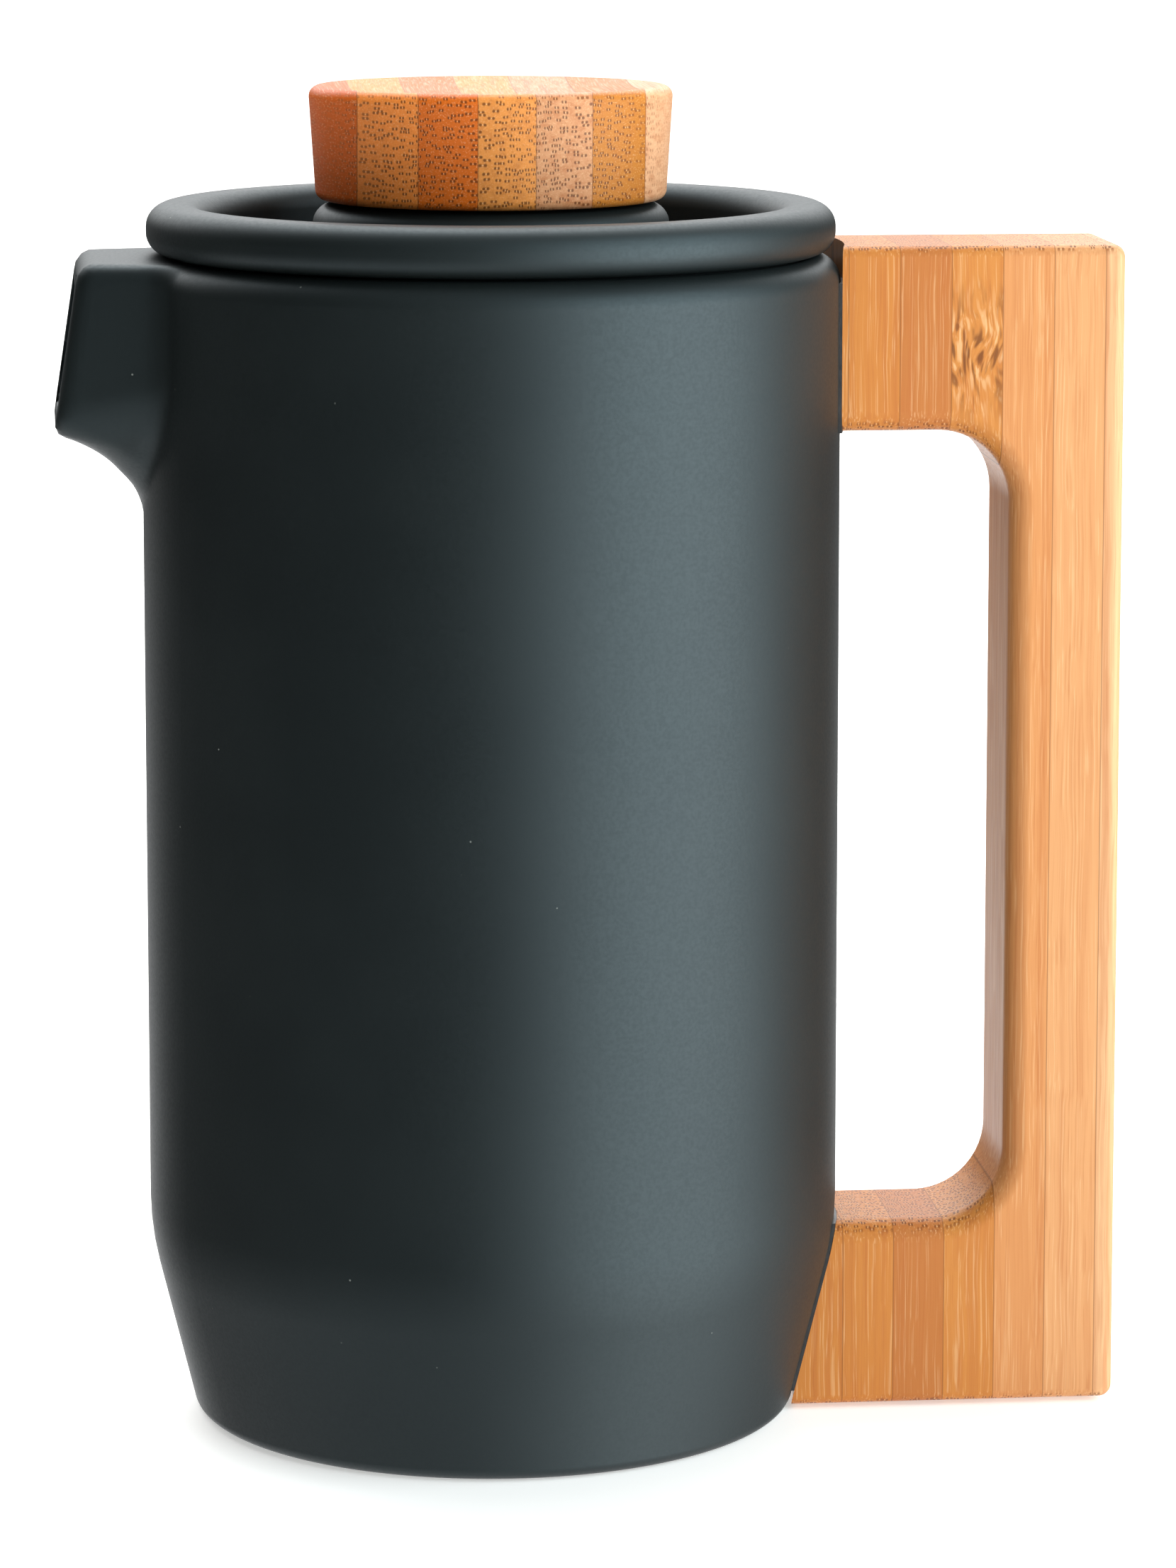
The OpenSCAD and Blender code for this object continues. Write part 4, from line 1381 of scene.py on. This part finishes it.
class PRESS_OT_rod(bpy.types.Operator):
    """Make the plunger rod and its collar"""
    bl_idname = "press.rod"
    bl_label = "Rod"

    def execute(self, context):
        steel = turned_steel()
        finish_piece(build_rod(), "plunger", "steel", steel, "plunger_rod")
        collar = build_ring("shaft_collar", "rod_collar", ROD_R, 0.6)
        finish_piece(collar, "plunger", "steel", steel, "rod_collar")
        return {"FINISHED"}


class PRESS_OT_filter(bpy.types.Operator):
    """Make the filter: two steel plates, the mesh between them, its eyelet, the spring and the nut"""
    bl_idname = "press.filter"
    bl_label = "Filter"

    def execute(self, context):
        steel = turned_steel()
        finish_piece(build_spiral_plate(), "filter", "steel", steel, "spiral_plate")
        finish_piece(build_spring(context.scene.press.hardware), "filter", "steel", steel, "spiral_spring")
        finish_piece(build_mesh_disc(), "filter", "mesh", woven_mesh(), "mesh_filter")
        eyelet = build_ring("mesh_eye", "mesh_eyelet", ROD_R + 0.4, 0.15)
        finish_piece(eyelet, "filter", "steel", steel, "mesh_eyelet")
        finish_piece(build_cross_plate(), "filter", "steel", steel, "cross_plate")
        finish_piece(build_cross_nut(), "filter", "steel", steel, "cross_plate_nut")
        return {"FINISHED"}


def add_light(name, size, place, aim, power, tint):
    """A soft rectangular light at a place in metres, aimed at a point."""
    data = bpy.data.lights.new(name, "AREA")
    data.shape = "RECTANGLE"
    data.size, data.size_y = size
    data.energy = power
    data.color = linear(tint)[:3]
    light = bpy.data.objects.new(name, data)
    light.location = place
    light.rotation_mode = "QUATERNION"
    light.rotation_quaternion = (Vector(aim) - Vector(place)).to_track_quat("-Z", "Y")
    bpy.context.scene.collection.objects.link(light)


class PRESS_OT_stage(bpy.types.Operator):
    """Set up the pale floor, the soft lights and the camera"""
    bl_idname = "press.stage"
    bl_label = "Stage"

    def execute(self, context):
        looks = context.scene.press.stage
        deselect()
        bpy.ops.mesh.primitive_plane_add(size=30, location=(0, 0, -0.0002))
        floor = bpy.context.object
        floor.name = "floor"
        floor.visible_glossy = False
        material, tree, shader = new_material("lit_acrylic_floor")
        grain = add(tree, "TexNoise", {"Vector": in_mm(tree), "Scale": 0.02, "Detail": 3.0})
        set_shader(
            tree,
            shader,
            Base_Color=looks.floor,
            Roughness=add(tree, "MapRange", {
                0: grain.outputs[0], 1: 0, 2: 1, 3: 0.7, 4: 0.8,
            }, interpolation_type="SMOOTHSTEP"),
            Emission_Color=looks.floor,
            Emission_Strength=looks.glow,
        )
        floor.data.materials.append(material)

        self.light_room(context, looks)
        add_light("side_softbox", (1.9, 1.5), (1.24, -0.85, 0.6), (0, 0, 0.1), 39, "#eefbff")
        add_light("top_softbox", (1.2, 1.0), (0.0, 0.6, 1.8), (0, 0, 0.1), 15, "#ffffff")
        self.set_camera(context, looks)
        context.scene.view_settings.view_transform = "Standard"
        return {"FINISHED"}

    def light_room(self, context, looks):
        """The room as the glaze reflects it, in place of the floor: a light wall above and behind, a pale table
        that is brighter where it is seen steeply and far behind, and the side light's patch in it."""
        side_light = (0.8, -0.6, 0)
        world = bpy.data.worlds.new("studio")
        context.scene.world = world
        world.use_nodes = True
        sky = world.node_tree
        sky.nodes.clear()
        way = add(sky, "TexCoord").outputs["Generated"]
        x, y, z = add(sky, "SeparateXYZ", {0: way}).outputs
        above = add(sky, "Math", {
            0: add(sky, "MapRange", {
                0: z, 1: 0.06, 2: 0.36, 3: 0, 4: looks.back_light,
            }, interpolation_type="SMOOTHSTEP"),
            1: add(sky, "MapRange", {0: y, 1: -0.1, 2: 0.5, 3: 0.1, 4: 1}, interpolation_type="SMOOTHSTEP"),
        }, operation="MULTIPLY")
        above = add(sky, "Math", {
            0: above,
            1: add(sky, "MapRange", {
                0: add(sky, "Math", {0: x}, operation="ABSOLUTE"), 1: 0.4, 2: 0.8, 3: 1, 4: 0.05,
            }, interpolation_type="SMOOTHSTEP"),
        }, operation="MULTIPLY")
        table = add(sky, "MapRange", {
            0: z, 1: -0.75, 2: -0.22, 3: looks.table_light, 4: looks.front_light,
        }, interpolation_type="SMOOTHSTEP")
        far_table = add(sky, "Math", {
            0: add(sky, "MapRange", {
                0: y, 1: 0.75, 2: 0.95, 3: 0, 4: looks.far_light,
            }, interpolation_type="SMOOTHSTEP"),
            1: add(sky, "MapRange", {
                0: z, 1: -0.26, 2: -0.08, 3: 1, 4: 0,
            }, interpolation_type="SMOOTHSTEP"),
        }, operation="MULTIPLY")
        to_side = add(sky, "VectorMath", {0: way, 1: side_light}, operation="DOT_PRODUCT").outputs[1]
        key = add(sky, "Math", {
            0: add(sky, "MapRange", {
                0: to_side, 1: 0.62, 2: 0.92, 3: 0, 4: looks.key_light,
            }, interpolation_type="SMOOTHSTEP"),
            1: add(sky, "MapRange", {0: z, 1: 0.0, 2: 0.06, 3: 1, 4: 0}, interpolation_type="SMOOTHSTEP"),
        }, operation="MULTIPLY")
        light = above
        for part in (table, key, far_table):
            light = add(sky, "Math", {0: light, 1: part}, operation="ADD")
        back = add(sky, "Background", {"Color": (1, 1, 1, 1), "Strength": light})
        add(sky, "OutputWorld", {"Surface": back.outputs[0]})

    def set_camera(self, context, looks):
        """The camera, turned a little towards the spout and looking down on the lid."""
        data = bpy.data.cameras.new("camera")
        data.sensor_width = 36
        data.lens = looks.lens
        data.shift_y = looks.shift
        data.clip_start, data.clip_end = 0.01, 60
        camera = bpy.data.objects.new("camera", data)
        context.scene.collection.objects.link(camera)
        away = -looks.distance
        camera.location = (away * math.sin(looks.swing), away * math.cos(looks.swing), looks.eye)
        camera.rotation_euler = (math.pi / 2 - looks.tilt, 0, -looks.swing - looks.pan)
        context.scene.camera = camera


class PRESS_PT_panel(bpy.types.Panel):
    """Buttons for the press's pieces, and their settings"""
    bl_idname = "PRESS_PT_panel"
    bl_label = "French press"
    bl_space_type = "VIEW_3D"
    bl_region_type = "UI"
    bl_category = "Press"

    def draw(self, context):
        for operator in OPERATORS:
            self.layout.operator(operator.bl_idname)
        for group in ("stoneware", "bamboo", "hardware", "stage"):
            box = self.layout.box()
            box.label(text=group.title())
            settings = getattr(context.scene.press, group)
            for name in settings.bl_rna.properties.keys():
                if name not in ("rna_type", "name"):
                    box.prop(settings, name)


SETTINGS = (StonewareSettings, BambooSettings, HardwareSettings, StageSettings, PressSettings)
OPERATORS = (
    PRESS_OT_jug, PRESS_OT_handle, PRESS_OT_lid, PRESS_OT_guide, PRESS_OT_knob, PRESS_OT_rod, PRESS_OT_filter,
    PRESS_OT_stage,
)


def register():
    for made in (*SETTINGS, *OPERATORS, PRESS_PT_panel):
        bpy.utils.register_class(made)
    bpy.types.Scene.press = PointerProperty(type=PressSettings)


def unregister():
    del bpy.types.Scene.press
    for made in reversed((*SETTINGS, *OPERATORS, PRESS_PT_panel)):
        bpy.utils.unregister_class(made)


def main():
    register()
    bpy.ops.press.jug()
    bpy.ops.press.handle()
    bpy.ops.press.lid()
    bpy.ops.press.guide()
    bpy.ops.press.knob()
    bpy.ops.press.rod()
    bpy.ops.press.filter()
    bpy.ops.press.stage()


if __name__ == "__main__":
    main()
